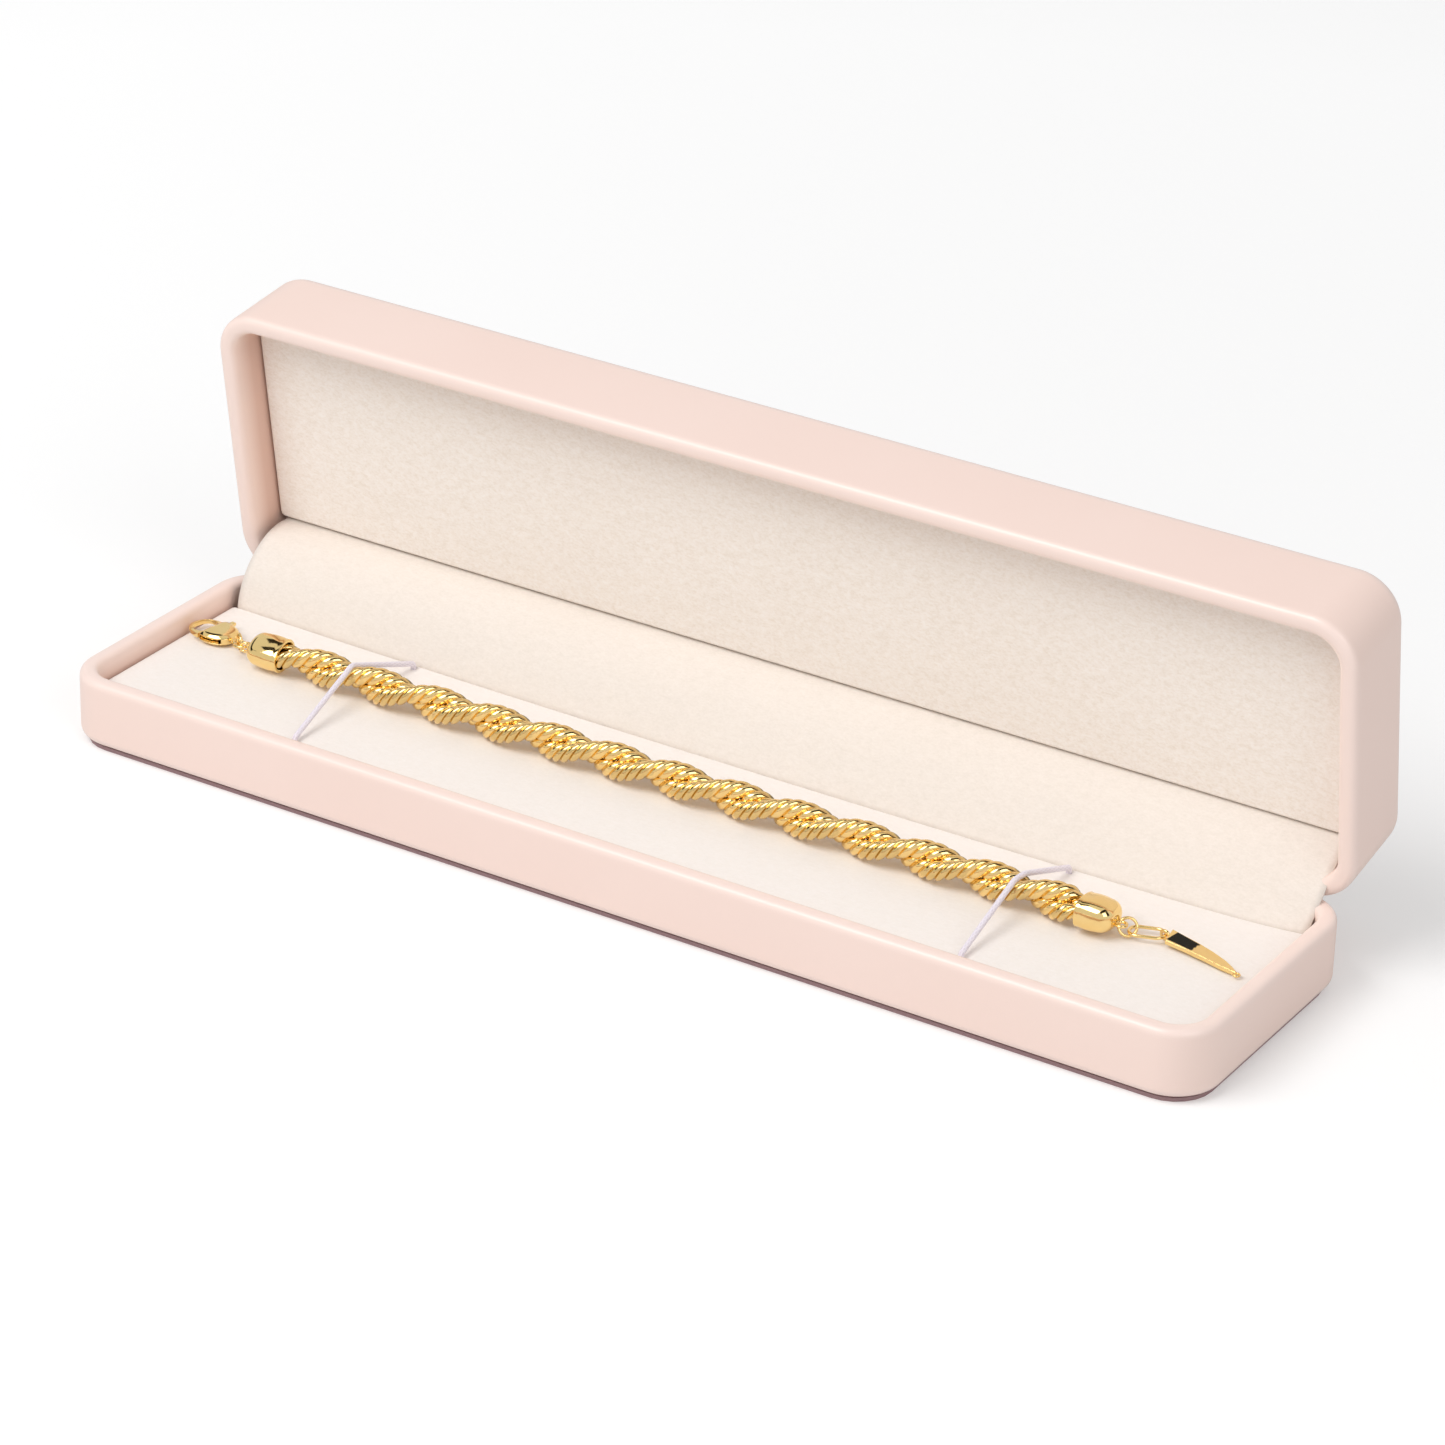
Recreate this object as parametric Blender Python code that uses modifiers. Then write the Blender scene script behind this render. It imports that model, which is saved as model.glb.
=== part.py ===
"""Hinged bracelet box with its bracelet, standing open.

A long slim case of two leatherette-covered trays joined by two spring hinges. The base
holds a velvet pad with a twisted rope bracelet strapped down by two elastic cords, the lid
holds a deeper velvet pad, and a velvet flap covers the hinges. Metres, +Z up. The origin is
on the floor under the middle of the base, +X runs along the case and -Y is its front.
"""

import math
from collections import namedtuple

import bmesh
import bpy
from mathutils import Matrix, Vector

# Case, outside
CASE_LENGTH = 0.2250
CASE_DEPTH = 0.0545
BASE_HEIGHT = 0.0135
LID_HEIGHT = 0.0192
CORNER_RADIUS = 0.0086
BASE_EDGE_RADIUS = 0.0018
LID_EDGE_RADIUS = 0.0034
LID_DRAFT = 0.0004
RIM_THICKNESS = 0.0034
CLOSED_GAP = 0.0003
OPEN_DEGREES = 81.4

# Layers of the case
CLEARANCE = 0.0003
SKIN_THICKNESS = 0.0005
SKIN_TUCK = 0.0026
HEM_WIDTH = 0.0050
FLOOR_THICKNESS = 0.0016
SHEET_THICKNESS = 0.0007
SHEET_INSET = 0.0014

# Pads and their boards
BASE_RECESS = 0.0037
LID_RECESS = 0.0073
BOARD_THICKNESS = 0.0012
BOARD_INSET = 0.0008
PAD_EDGE_RADIUS = 0.0011
PAD_REAR_RADIUS = 0.0012
BASE_CHANNEL = 0.0060
LID_CHANNEL = 0.0050

# Velvet flap over the hinges
FLAP_THICKNESS = 0.0006
FLAP_BULGE = 0.0019
FLAP_TAIL = 0.0044
FLAP_SIDE_GAP = 0.0015
FLAP_STEPS = 8

# Spring hinges
HINGE_END_ROOM = 0.0425
HINGE_WIDTH = 0.0240
HINGE_INSET = 0.0010
KNUCKLE_RADIUS = 0.0011
MIDDLE_KNUCKLE = 0.0094
PIN_RADIUS = 0.0005
PIN_HEAD_RADIUS = 0.0008
PIN_HEAD_THICKNESS = 0.0003
BORE_CLEARANCE = 0.0002
LEAF_THICKNESS = 0.0005
LEAF_REACH = 0.0080
ARM_OFFSET = 0.0008
NOTCH_DEPTH = 0.0024
SPRING_THICKNESS = 0.0003
SPRING_WIDTH = 0.0080
SPRING_WINDOW = 0.0030

# Bracelet rope
ROPE_Y = 0.0006
STRAND_RADIUS = 0.00155
HELIX_RADIUS = 0.0017
TWIST_PITCH = 0.0246
LOBE_X = -0.0021
LOBE_DEGREES = 67.5
TWIST_STEPS = 12
CLASP_END_ROOM = 0.0273
TAG_END_ROOM = 0.0368
CAP_LENGTH = 0.0070
CAP_WIDTH = 0.0070
CAP_HEIGHT = 0.0050
CAP_WALL = 0.0005
CAP_CORNER = 0.0017
CAP_NOSE = 0.0013
CAP_POCKET = 0.0034
STRAND_TUCK = 0.0022
SQUEEZE_RUN = 0.0020
TUCKED_HELIX = 0.0014
TUCKED_RADIUS = 0.00115

# Rings and links
EYE_RADIUS = 0.00085
EYE_WIRE = 0.00028
EYE_DROP = 0.00065
RING_RADIUS = 0.0015
RING_WIRE = 0.00027
CHAIN_PLAY = 0.0002
CHAIN_HEADING = 140.0
TAG_RING_HEADING = 65.0
TAG_RING_DIP = 60.0
LINK_LENGTH = 0.0058
LINK_HALF_WIDTH = 0.0016
LINK_HEADING = 20.0

# Clasp, in its own frame: u from the tail eye to the hook, v towards the thumb lever
CLASP_START = 0.0012
CLASP_LENGTH = 0.0100
CLASP_HALF_WIDTH = 0.0032
CLASP_THICKNESS = 0.0022
CLASP_EDGE = 0.0004
CLASP_HEADING = 170.0
OVAL_SHARE = 0.85
HOOK_CENTRE = 0.0088
HOOK_HALF_LENGTH = 0.0015
HOOK_HALF_WIDTH = 0.0021
SLOT_START = 0.0022
SLOT_END = 0.0068
SLOT_HEIGHT = 0.0012
LEVER_THICKNESS = 0.0008
GATE_THICKNESS = 0.0016
GATE_START = 0.0070
GATE_END = 0.0094
GATE_GAP = 0.0004
GATE_SWEEP = 0.0014
PIVOT_U = 0.0042
PIVOT_V = -0.0010
RIVET_RADIUS = 0.0004
CLASP_SPRING_THICKNESS = 0.00025

# Tag
TAG_THICKNESS = 0.0008
TAG_LENGTH = 0.0148
TAG_WIDTH = 0.0038
TAG_HEADING = -8.6
TAG_EYE_RADIUS = 0.00075
TIP_EYE_RADIUS = 0.0005
TIP_EYE_WIRE = 0.0002

# Elastic cords
CORD_RADIUS = 0.00065
CORD_LEFT_ROOM = 0.0455
CORD_RIGHT_ROOM = 0.0472
FRONT_SLIT_ROOM = 0.00405
REAR_SLIT_ROOM = 0.00195
SLIT_RADIUS = 0.0009
POCKET_RADIUS = 0.0016
POCKET_HEIGHT = 0.0024
KNOT_RADIUS = 0.00105
CORD_BEND = 0.0009

# Facets
CORNER_STEPS = 6
ARC_STEPS = 4
ROUND_SIDES = 16
RING_SIDES = 16
WIRE_SIDES = 6
OVERRUN = 0.0020

# Places worked out from the sizes above
BASE_TOP = BASE_HEIGHT
LID_RIM = BASE_HEIGHT + CLOSED_GAP
LID_TOP = LID_RIM + LID_HEIGHT
HINGE_X = CASE_LENGTH / 2 - HINGE_END_ROOM
INNER_REAR = CASE_DEPTH / 2 - RIM_THICKNESS
HINGE_Y = CASE_DEPTH / 2 - HINGE_INSET
HINGE_Z = BASE_HEIGHT + CLOSED_GAP / 2
SKIN_FOOT = SHEET_THICKNESS + CLEARANCE
CORE_FOOT = SKIN_FOOT + SKIN_THICKNESS + CLEARANCE
CORE_INSET = SKIN_THICKNESS + CLEARANCE
CORE_THICKNESS = RIM_THICKNESS - 2 * CORE_INSET
FLOOR_TOP = CORE_FOOT + FLOOR_THICKNESS
BASE_PAD_TOP = BASE_TOP - BASE_RECESS
BASE_PAD_FOOT = FLOOR_TOP + 2 * CLEARANCE + BOARD_THICKNESS
BASE_PAD_REAR = INNER_REAR - BASE_CHANNEL
LID_PAD_FACE = LID_RIM + LID_RECESS
LID_CEILING = LID_TOP - CORE_INSET - CORE_THICKNESS
LID_PAD_BACK = LID_CEILING - 2 * CLEARANCE - BOARD_THICKNESS
LID_PAD_REAR = INNER_REAR - LID_CHANNEL
CORD_LEFT_X = CORD_LEFT_ROOM - CASE_LENGTH / 2
CORD_RIGHT_X = CASE_LENGTH / 2 - CORD_RIGHT_ROOM
FRONT_SLIT_Y = RIM_THICKNESS + CLEARANCE + FRONT_SLIT_ROOM - CASE_DEPTH / 2
REAR_SLIT_Y = BASE_PAD_REAR - REAR_SLIT_ROOM
ROPE_START = CLASP_END_ROOM - CASE_LENGTH / 2
ROPE_END = CASE_LENGTH / 2 - TAG_END_ROOM
ROPE_RADIUS = HELIX_RADIUS + STRAND_RADIUS
ROPE_Z = BASE_PAD_TOP + CLEARANCE + ROPE_RADIUS
PAD_SEAT = BASE_PAD_TOP + CLEARANCE
EYE_Z = ROPE_Z - EYE_DROP
RING_Z = PAD_SEAT + RING_RADIUS + RING_WIRE
CLASP_Z = PAD_SEAT + CLASP_THICKNESS / 2
TAG_EYE_Z = PAD_SEAT + TAG_EYE_RADIUS + RING_WIRE

Plan = namedtuple("Plan", "half_length front rear front_radius rear_radius")
CASE_PLAN = Plan(CASE_LENGTH / 2, -CASE_DEPTH / 2, CASE_DEPTH / 2, CORNER_RADIUS, CORNER_RADIUS)


# Scene and materials

def clear_scene():
    for item in list(bpy.data.objects):
        bpy.data.objects.remove(item, do_unlink=True)


def new_collection(name):
    group = bpy.data.collections.new(name)
    bpy.context.scene.collection.children.link(group)
    return group


def finish_of(name, colour, roughness, metallic=0.0):
    material = bpy.data.materials.new(name)
    material.use_nodes = True
    shader = material.node_tree.nodes["Principled BSDF"]
    shader.inputs["Base Color"].default_value = (*colour, 1.0)
    shader.inputs["Roughness"].default_value = roughness
    shader.inputs["Metallic"].default_value = metallic
    material.diffuse_color = (*colour, 1.0)
    return material


def pink_leatherette():
    return finish_of("pink_leatherette", (0.90, 0.70, 0.63), 0.42)


def moulded_core():
    return finish_of("moulded_core", (0.62, 0.60, 0.58), 0.55)


def mauve_paper():
    return finish_of("mauve_paper", (0.36, 0.24, 0.25), 0.85)


def greyboard():
    return finish_of("greyboard", (0.42, 0.38, 0.33), 0.90)


def cream_velvet():
    return finish_of("cream_velvet", (0.93, 0.86, 0.78), 0.95)


def spring_steel():
    return finish_of("spring_steel", (0.62, 0.60, 0.56), 0.30, 1.0)


def polished_gold():
    return finish_of("polished_gold", (0.95, 0.72, 0.30), 0.12, 1.0)


def white_elastic():
    return finish_of("white_elastic", (0.86, 0.82, 0.86), 0.80)


# Shape tools

def add_object(name, mesh_or_curve, material):
    item = bpy.data.objects.new(name, mesh_or_curve)
    PARTS.objects.link(item)
    if material:
        item.data.materials.append(material)
    return item


def object_from_bmesh(name, shape, material, smooth_degrees=35.0):
    mesh = bpy.data.meshes.new(name)
    shape.to_mesh(mesh)
    shape.free()
    mesh.shade_smooth()
    mesh.set_sharp_from_angle(angle=math.radians(smooth_degrees))
    return add_object(name, mesh, material)


def arc(centre, radius, start, end, steps=ARC_STEPS):
    """Points of a circular arc, angles in degrees, both ends included."""
    points = []
    for step in range(steps + 1):
        angle = math.radians(start + (end - start) * step / steps)
        points.append((centre[0] + radius * math.cos(angle), centre[1] + radius * math.sin(angle)))
    return points


def plan_outline(plan, inset):
    """The plan drawn in by inset, anticlockwise from above, with its rounded corners."""
    points = []
    for side, edge, radius, start in (
        (1, plan.rear, plan.rear_radius, 0),
        (-1, plan.rear, plan.rear_radius, 90),
        (-1, plan.front, plan.front_radius, 180),
        (1, plan.front, plan.front_radius, 270),
    ):
        inward = -1 if edge > plan.front else 1
        round_off = max(radius - inset, CLEARANCE)
        centre_x = side * (plan.half_length - inset - round_off)
        centre_y = edge + inward * (inset + round_off)
        points += arc((centre_x, centre_y), round_off, start, start + 90, CORNER_STEPS)
    return points


def stacked(name, plan, rows, material, closed=False):
    """A solid through rows of (inset, height): capped at both ends, or closed on itself."""
    shape = bmesh.new()
    rings = []
    for inset, height in rows:
        rings.append([shape.verts.new((x, y, height)) for x, y in plan_outline(plan, inset)])
    following = rings[1:] + (rings[:1] if closed else [])
    for low, high in zip(rings, following):
        for i in range(len(low)):
            shape.faces.new((low[i - 1], low[i], high[i], high[i - 1]))
    if not closed:
        shape.faces.new(rings[0][::-1])
        shape.faces.new(rings[-1])
    return object_from_bmesh(name, shape, material)


def box(name, low, high, material=None):
    shape = bmesh.new()
    bmesh.ops.create_cube(shape, size=1)
    size = [b - a for a, b in zip(low, high)]
    middle = [(a + b) / 2 for a, b in zip(low, high)]
    bmesh.ops.scale(shape, vec=size, verts=shape.verts)
    bmesh.ops.translate(shape, vec=middle, verts=shape.verts)
    return object_from_bmesh(name, shape, material)


def turned_towards(axis):
    """Rotation that carries +Z to the axis."""
    return Vector((0, 0, 1)).rotation_difference(Vector(axis)).to_matrix().to_4x4()


def rod(name, centre, axis, radius, length, material=None, sides=ROUND_SIDES):
    shape = bmesh.new()
    bmesh.ops.create_cone(
        shape, cap_ends=True, segments=sides, radius1=radius, radius2=radius, depth=length
    )
    shape.transform(Matrix.Translation(centre) @ turned_towards(axis))
    return object_from_bmesh(name, shape, material)


def ball(name, centre, radius):
    shape = bmesh.new()
    bmesh.ops.create_uvsphere(shape, u_segments=10, v_segments=6, radius=radius)
    shape.transform(Matrix.Translation(centre))
    return object_from_bmesh(name, shape, None)


def wire_ring(name, centre, normal, radius, wire, material):
    bpy.ops.mesh.primitive_torus_add(
        major_radius=radius, minor_radius=wire,
        major_segments=RING_SIDES, minor_segments=WIRE_SIDES,
    )
    item = bpy.context.active_object
    for group in list(item.users_collection):
        group.objects.unlink(item)
    PARTS.objects.link(item)
    item.name = name
    item.data.name = name
    item.data.transform(Matrix.Translation(centre) @ turned_towards(normal))
    item.data.shade_smooth()
    if material:
        item.data.materials.append(material)
    return item


def turned(name, centre, axis, profile, material):
    """A turned piece: profile of (radius, height), from its top on the axis down its outer side."""
    shape = bmesh.new()
    points = [shape.verts.new((radius, 0, height)) for radius, height in profile]
    for above, below in zip(points, points[1:]):
        shape.edges.new((above, below))
    item = object_from_bmesh(name, shape, material)
    screw = item.modifiers.new("Turn", "SCREW")
    screw.steps = ROUND_SIDES
    screw.render_steps = ROUND_SIDES
    screw.use_merge_vertices = True
    screw.merge_threshold = 0.00001
    as_mesh(item)
    item.data.transform(Matrix.Translation(centre) @ turned_towards(axis))
    return item


def as_mesh(item):
    """Replaces a curve, or live modifiers, by the mesh that they make, with its doubles welded."""
    bpy.context.view_layer.update()
    evaluated = item.evaluated_get(bpy.context.evaluated_depsgraph_get())
    mesh = bpy.data.meshes.new_from_object(evaluated)
    shape = bmesh.new()
    shape.from_mesh(mesh)
    bmesh.ops.remove_doubles(shape, verts=shape.verts, dist=0.000001)
    shape.to_mesh(mesh)
    shape.free()
    if item.type == "CURVE":
        made = add_object(item.name, mesh, None)
        made.matrix_world = item.matrix_world
        name = item.name
        bpy.data.objects.remove(item, do_unlink=True)
        made.name = name
        return made
    item.modifiers.clear()
    item.data = mesh
    return item


def flat_plate(name, outline, low, high, material, edge=0.0):
    """A flat plate of a closed outline, between two heights, with its edges rounded or square."""
    curve = bpy.data.curves.new(name, "CURVE")
    curve.dimensions = "2D"
    curve.fill_mode = "BOTH"
    curve.extrude = (high - low) / 2 - edge
    curve.bevel_depth = edge
    curve.bevel_resolution = 1
    curve.offset = -edge
    spline = curve.splines.new("POLY")
    spline.points.add(len(outline) - 1)
    for point, (x, y) in zip(spline.points, outline):
        point.co = (x, y, 0, 1)
    spline.use_cyclic_u = True
    item = as_mesh(add_object(name, curve, material))
    item.data.transform(Matrix.Translation((0, 0, (low + high) / 2)))
    return item


def tube(name, points, radii, material, resolution=2, cyclic=False):
    """A round tube along points, with one radius for each."""
    curve = bpy.data.curves.new(name, "CURVE")
    curve.dimensions = "3D"
    curve.bevel_depth = 1
    curve.bevel_resolution = resolution
    curve.use_fill_caps = not cyclic
    spline = curve.splines.new("POLY")
    spline.points.add(len(points) - 1)
    for point, place, radius in zip(spline.points, points, radii):
        point.co = (*place, 1)
        point.radius = radius
    spline.use_cyclic_u = cyclic
    item = as_mesh(add_object(name, curve, material))
    item.data.shade_smooth()
    return item


def strip(name, path, thickness, middle_x, width, material):
    """A bent strip: an open sheet along a path of (y, z), given its thickness both ways."""
    shape = bmesh.new()
    left = [shape.verts.new((middle_x - width / 2, y, z)) for y, z in path]
    edges = [shape.edges.new(pair) for pair in zip(left, left[1:])]
    swept = bmesh.ops.extrude_edge_only(shape, edges=edges)["geom"]
    moved = [vert for vert in swept if isinstance(vert, bmesh.types.BMVert)]
    bmesh.ops.translate(shape, vec=(width, 0, 0), verts=moved)
    item = object_from_bmesh(name, shape, material)
    solid = item.modifiers.new("Thickness", "SOLIDIFY")
    solid.thickness = thickness
    solid.offset = 0
    solid.use_even_offset = True
    return as_mesh(item)


def combine(item, other, operation):
    """A live Boolean on item. The other mesh goes to the cutters."""
    step = item.modifiers.new(other.name, "BOOLEAN")
    step.operation = operation
    step.object = other
    if other.name not in CUTTERS.objects:
        PARTS.objects.unlink(other)
        CUTTERS.objects.link(other)
    other.hide_render = True
    other.display_type = "WIRE"


def with_cutters(items):
    """The items and the cutters of their Booleans, and of those cutters' own, each once."""
    found = []
    waiting = list(items)
    while waiting:
        item = waiting.pop(0)
        if item not in found:
            found.append(item)
            waiting += [step.object for step in item.modifiers if step.type == "BOOLEAN"]
    return found


def moved(items, matrix):
    for item in with_cutters(items):
        item.data.transform(matrix)


def hung_on_pivot(name, place, turn, items):
    """Parents items to an empty at a joint. Their meshes move back by its place."""
    empty = bpy.data.objects.new(name, None)
    PARTS.objects.link(empty)
    empty.matrix_world = Matrix.Translation(place) @ turn
    moved(items, Matrix.Translation(-Vector(place)))
    for item in with_cutters(items):
        item.parent = empty


# Case

def skin_rows(height, foot, edge_radius, tuck_height, draft, hem):
    """Rows round a folded skin: hem, outer wall, over the rim and down the inner wall, and back."""
    rim = RIM_THICKNESS / 2
    outer = [(hem, foot, 0, 1)]
    for step in range(ARC_STEPS + 1):
        angle = math.radians(90 * step / ARC_STEPS)
        across, up = math.sin(angle), math.cos(angle)
        inset = draft + edge_radius * (1 - across)
        outer.append((inset, foot + edge_radius * (1 - up), across, up))
    for step in range(2 * ARC_STEPS + 1):
        angle = math.radians(90 * step / ARC_STEPS)
        across, up = math.cos(angle), math.sin(angle)
        outer.append((rim * (1 - across), height - rim * (1 - up), across, -up))
    outer.append((RIM_THICKNESS, tuck_height, -1, 0))
    inner = [(inset + across * SKIN_THICKNESS, z + up * SKIN_THICKNESS) for inset, z, across, up in outer]
    return [(inset, z) for inset, z, _, _ in outer] + inner[::-1]


def core_rows(height, foot, edge_radius, draft, floor_top):
    """Rows of a moulded tray: underside, outer wall, rounded rim, inner wall and floor."""
    rim = CORE_THICKNESS / 2
    rows = []
    for step in range(ARC_STEPS + 1):
        angle = math.radians(90 * step / ARC_STEPS)
        inset = CORE_INSET + draft + edge_radius * (1 - math.sin(angle))
        rows.append((inset, foot + edge_radius * (1 - math.cos(angle))))
    for step in range(2 * ARC_STEPS + 1):
        angle = math.radians(90 * step / ARC_STEPS)
        inset = CORE_INSET + rim * (1 - math.cos(angle))
        rows.append((inset, height - CORE_INSET - rim * (1 - math.sin(angle))))
    rows.append((CORE_INSET + CORE_THICKNESS, floor_top))
    return rows


def turned_over(rows, total):
    """Rows of a tray, mirrored in height so that its rim faces down. The order is reversed too."""
    return [(inset, total - z) for inset, z in rows][::-1]


def base_shells():
    skin = skin_rows(
        BASE_TOP, SKIN_FOOT, BASE_EDGE_RADIUS, BASE_PAD_TOP - SKIN_TUCK, 0, HEM_WIDTH
    )
    base_skin = stacked("base_skin", CASE_PLAN, skin, LEATHER, closed=True)
    core_edge = BASE_EDGE_RADIUS - CORE_INSET
    core = core_rows(BASE_TOP, CORE_FOOT, core_edge, 0, FLOOR_TOP)
    base_core = stacked("base_core", CASE_PLAN, core, CORE)
    return [base_skin, base_core]


def lid_shells():
    """The lid's shells, in the closed position."""
    total = LID_RIM + LID_TOP
    skin = skin_rows(
        LID_TOP, LID_RIM, LID_EDGE_RADIUS, total - LID_PAD_FACE - SKIN_TUCK, LID_DRAFT, HEM_WIDTH
    )
    lid_skin = stacked("lid_skin", CASE_PLAN, turned_over(skin, total), LEATHER)
    core_edge = LID_EDGE_RADIUS - CORE_INSET
    core = core_rows(LID_TOP, LID_RIM + CORE_INSET, core_edge, LID_DRAFT, total - LID_CEILING)
    lid_core = stacked("lid_core", CASE_PLAN, turned_over(core, total), CORE)
    return [lid_skin, lid_core]


def bottom_sheet():
    outline = plan_outline(CASE_PLAN, SHEET_INSET)
    flat_plate("bottom_sheet", outline, 0, SHEET_THICKNESS, PAPER)


def pad_plan(rear):
    wall = RIM_THICKNESS + CLEARANCE
    corner = CORNER_RADIUS - wall
    return Plan(CASE_LENGTH / 2 - wall, wall - CASE_DEPTH / 2, rear, corner, PAD_REAR_RADIUS)


def pad(name, plan, foot, face):
    """A velvet-covered pad: square at its foot, with a soft rolled edge round its face."""
    rows = [(0, foot)]
    towards = 1 if face > foot else -1
    for step in range(ARC_STEPS + 1):
        angle = math.radians(90 * step / ARC_STEPS)
        inset = PAD_EDGE_RADIUS * (1 - math.cos(angle))
        rows.append((inset, face - towards * PAD_EDGE_RADIUS * (1 - math.sin(angle))))
    return stacked(name, plan, rows if face > foot else rows[::-1], VELVET)


def board(name, plan, low):
    outline = plan_outline(plan, BOARD_INSET)
    return flat_plate(name, outline, low, low + BOARD_THICKNESS, BOARD)


def base_pad_with_board():
    plan = pad_plan(BASE_PAD_REAR)
    board("base_pad_board", plan, FLOOR_TOP + CLEARANCE)
    base_pad = pad("base_pad", plan, BASE_PAD_FOOT, BASE_PAD_TOP)
    for side, x in (("left", CORD_LEFT_X), ("right", CORD_RIGHT_X)):
        for end, y in (("front", FRONT_SLIT_Y), ("rear", REAR_SLIT_Y)):
            name = f"slit_{side}_{end}"
            middle = Vector((x, y, (BASE_PAD_FOOT + BASE_PAD_TOP) / 2))
            depth = BASE_PAD_TOP - BASE_PAD_FOOT + 2 * OVERRUN
            combine(base_pad, rod(name, middle, (0, 0, 1), SLIT_RADIUS, depth), "DIFFERENCE")
            middle.z = BASE_PAD_FOOT + (POCKET_HEIGHT - OVERRUN) / 2
            pocket = rod(name + "_pocket", middle, (0, 0, 1), POCKET_RADIUS, POCKET_HEIGHT + OVERRUN)
            combine(base_pad, pocket, "DIFFERENCE")


def lid_pad_with_board():
    plan = pad_plan(LID_PAD_REAR)
    lid_board = board("lid_pad_board", plan, LID_PAD_BACK + CLEARANCE)
    lid_pad = pad("lid_pad", plan, LID_PAD_BACK, LID_PAD_FACE)
    return [lid_board, lid_pad]


# Hinges and flap

def opened(y, z):
    """A point of the closed lid's cross-section, carried to the open lid."""
    angle = math.radians(OPEN_DEGREES)
    across, up = y - HINGE_Y, z - HINGE_Z
    return (
        HINGE_Y + across * math.cos(angle) + up * math.sin(angle),
        HINGE_Z - across * math.sin(angle) + up * math.cos(angle),
    )


def notch(name, middle_x, low, high):
    half = HINGE_WIDTH / 2 + PIN_HEAD_THICKNESS + 2 * CLEARANCE
    front = INNER_REAR - CLEARANCE - LEAF_THICKNESS - CLEARANCE
    rear = CASE_DEPTH / 2 + OVERRUN
    return box(name, (middle_x - half, front, low), (middle_x + half, rear, high))


def leaf_path(up):
    """Centre line of a hinge leaf: along the tray's inner wall, then back to the knuckle."""
    wall_y = INNER_REAR - CLEARANCE - LEAF_THICKNESS / 2
    arm_z = HINGE_Z + up * ARM_OFFSET
    bend = LEAF_THICKNESS
    far = (wall_y, HINGE_Z + up * LEAF_REACH)
    corner = arc((wall_y + bend, arm_z + up * bend), bend, 180, 180 + up * 90, 3)
    return [far, *corner, (HINGE_Y, arm_z)]


def knuckle(name, middle_x, width):
    place = (middle_x, HINGE_Y, HINGE_Z)
    return rod(name, place, (1, 0, 0), KNUCKLE_RADIUS, width)


def bore(name, middle_x):
    place = (middle_x, HINGE_Y, HINGE_Z)
    radius = PIN_RADIUS + BORE_CLEARANCE
    return rod(name, place, (1, 0, 0), radius, HINGE_WIDTH + 2 * OVERRUN)


def base_leaf(side, middle_x):
    name = f"hinge_{side}_base_leaf"
    leaf = strip(name, leaf_path(-1), LEAF_THICKNESS, middle_x, HINGE_WIDTH, STEEL)
    window = MIDDLE_KNUCKLE / 2 + CLEARANCE
    low = (middle_x - window, INNER_REAR - OVERRUN, HINGE_Z - SPRING_WINDOW)
    high = (middle_x + window, CASE_DEPTH / 2, HINGE_Z + OVERRUN)
    combine(leaf, box(name + "_window", low, high), "DIFFERENCE")
    outer_width = HINGE_WIDTH / 2 - window
    for end, sign in (("a", -1), ("b", 1)):
        x = middle_x + sign * (window + outer_width / 2)
        combine(leaf, knuckle(f"{name}_knuckle_{end}", x, outer_width), "UNION")
    combine(leaf, bore(name + "_bore", middle_x), "DIFFERENCE")


def lid_leaf(side, middle_x):
    name = f"hinge_{side}_lid_leaf"
    leaf = strip(name, leaf_path(1), LEAF_THICKNESS, middle_x, HINGE_WIDTH, STEEL)
    half = MIDDLE_KNUCKLE / 2
    clear_y = HINGE_Y - KNUCKLE_RADIUS - 2 * CLEARANCE
    for end, sign in (("a", -1), ("b", 1)):
        near, far = middle_x + sign * half, middle_x + sign * (HINGE_WIDTH / 2 + OVERRUN)
        low = (min(near, far), clear_y, HINGE_Z - OVERRUN)
        high = (max(near, far), CASE_DEPTH / 2, HINGE_Z + OVERRUN)
        combine(leaf, box(f"{name}_corner_{end}", low, high), "DIFFERENCE")
    combine(leaf, knuckle(name + "_knuckle", middle_x, MIDDLE_KNUCKLE), "UNION")
    combine(leaf, bore(name + "_bore", middle_x), "DIFFERENCE")
    return leaf


def hinge_pin(side, middle_x):
    shank = HINGE_WIDTH / 2 + CLEARANCE
    end = shank + PIN_HEAD_THICKNESS
    profile = [
        (0, end), (PIN_HEAD_RADIUS, end), (PIN_HEAD_RADIUS, shank), (PIN_RADIUS, shank),
        (PIN_RADIUS, -shank), (PIN_HEAD_RADIUS, -shank), (PIN_HEAD_RADIUS, -end), (0, -end),
    ]
    turned(f"hinge_{side}_pin", (middle_x, HINGE_Y, HINGE_Z), (1, 0, 0), profile, STEEL)


def hinge_spring(side, middle_x):
    """A bent strip held by the base leaf, whose free end bears on the lid's knuckle."""
    front = INNER_REAR - CLEARANCE - LEAF_THICKNESS - CLEARANCE - SPRING_THICKNESS / 2
    bearing = HINGE_Z - KNUCKLE_RADIUS - CLEARANCE - SPRING_THICKNESS / 2
    shoulder = HINGE_Z - SPRING_WINDOW + 2 * CLEARANCE + SPRING_THICKNESS
    path = [
        (front, HINGE_Z - LEAF_REACH + CLEARANCE),
        (front, shoulder),
        (INNER_REAR, (shoulder + bearing) / 2),
        (HINGE_Y - KNUCKLE_RADIUS, bearing),
        (HINGE_Y, bearing),
    ]
    strip(f"hinge_{side}_spring", path, SPRING_THICKNESS, middle_x, SPRING_WIDTH, STEEL)


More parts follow.
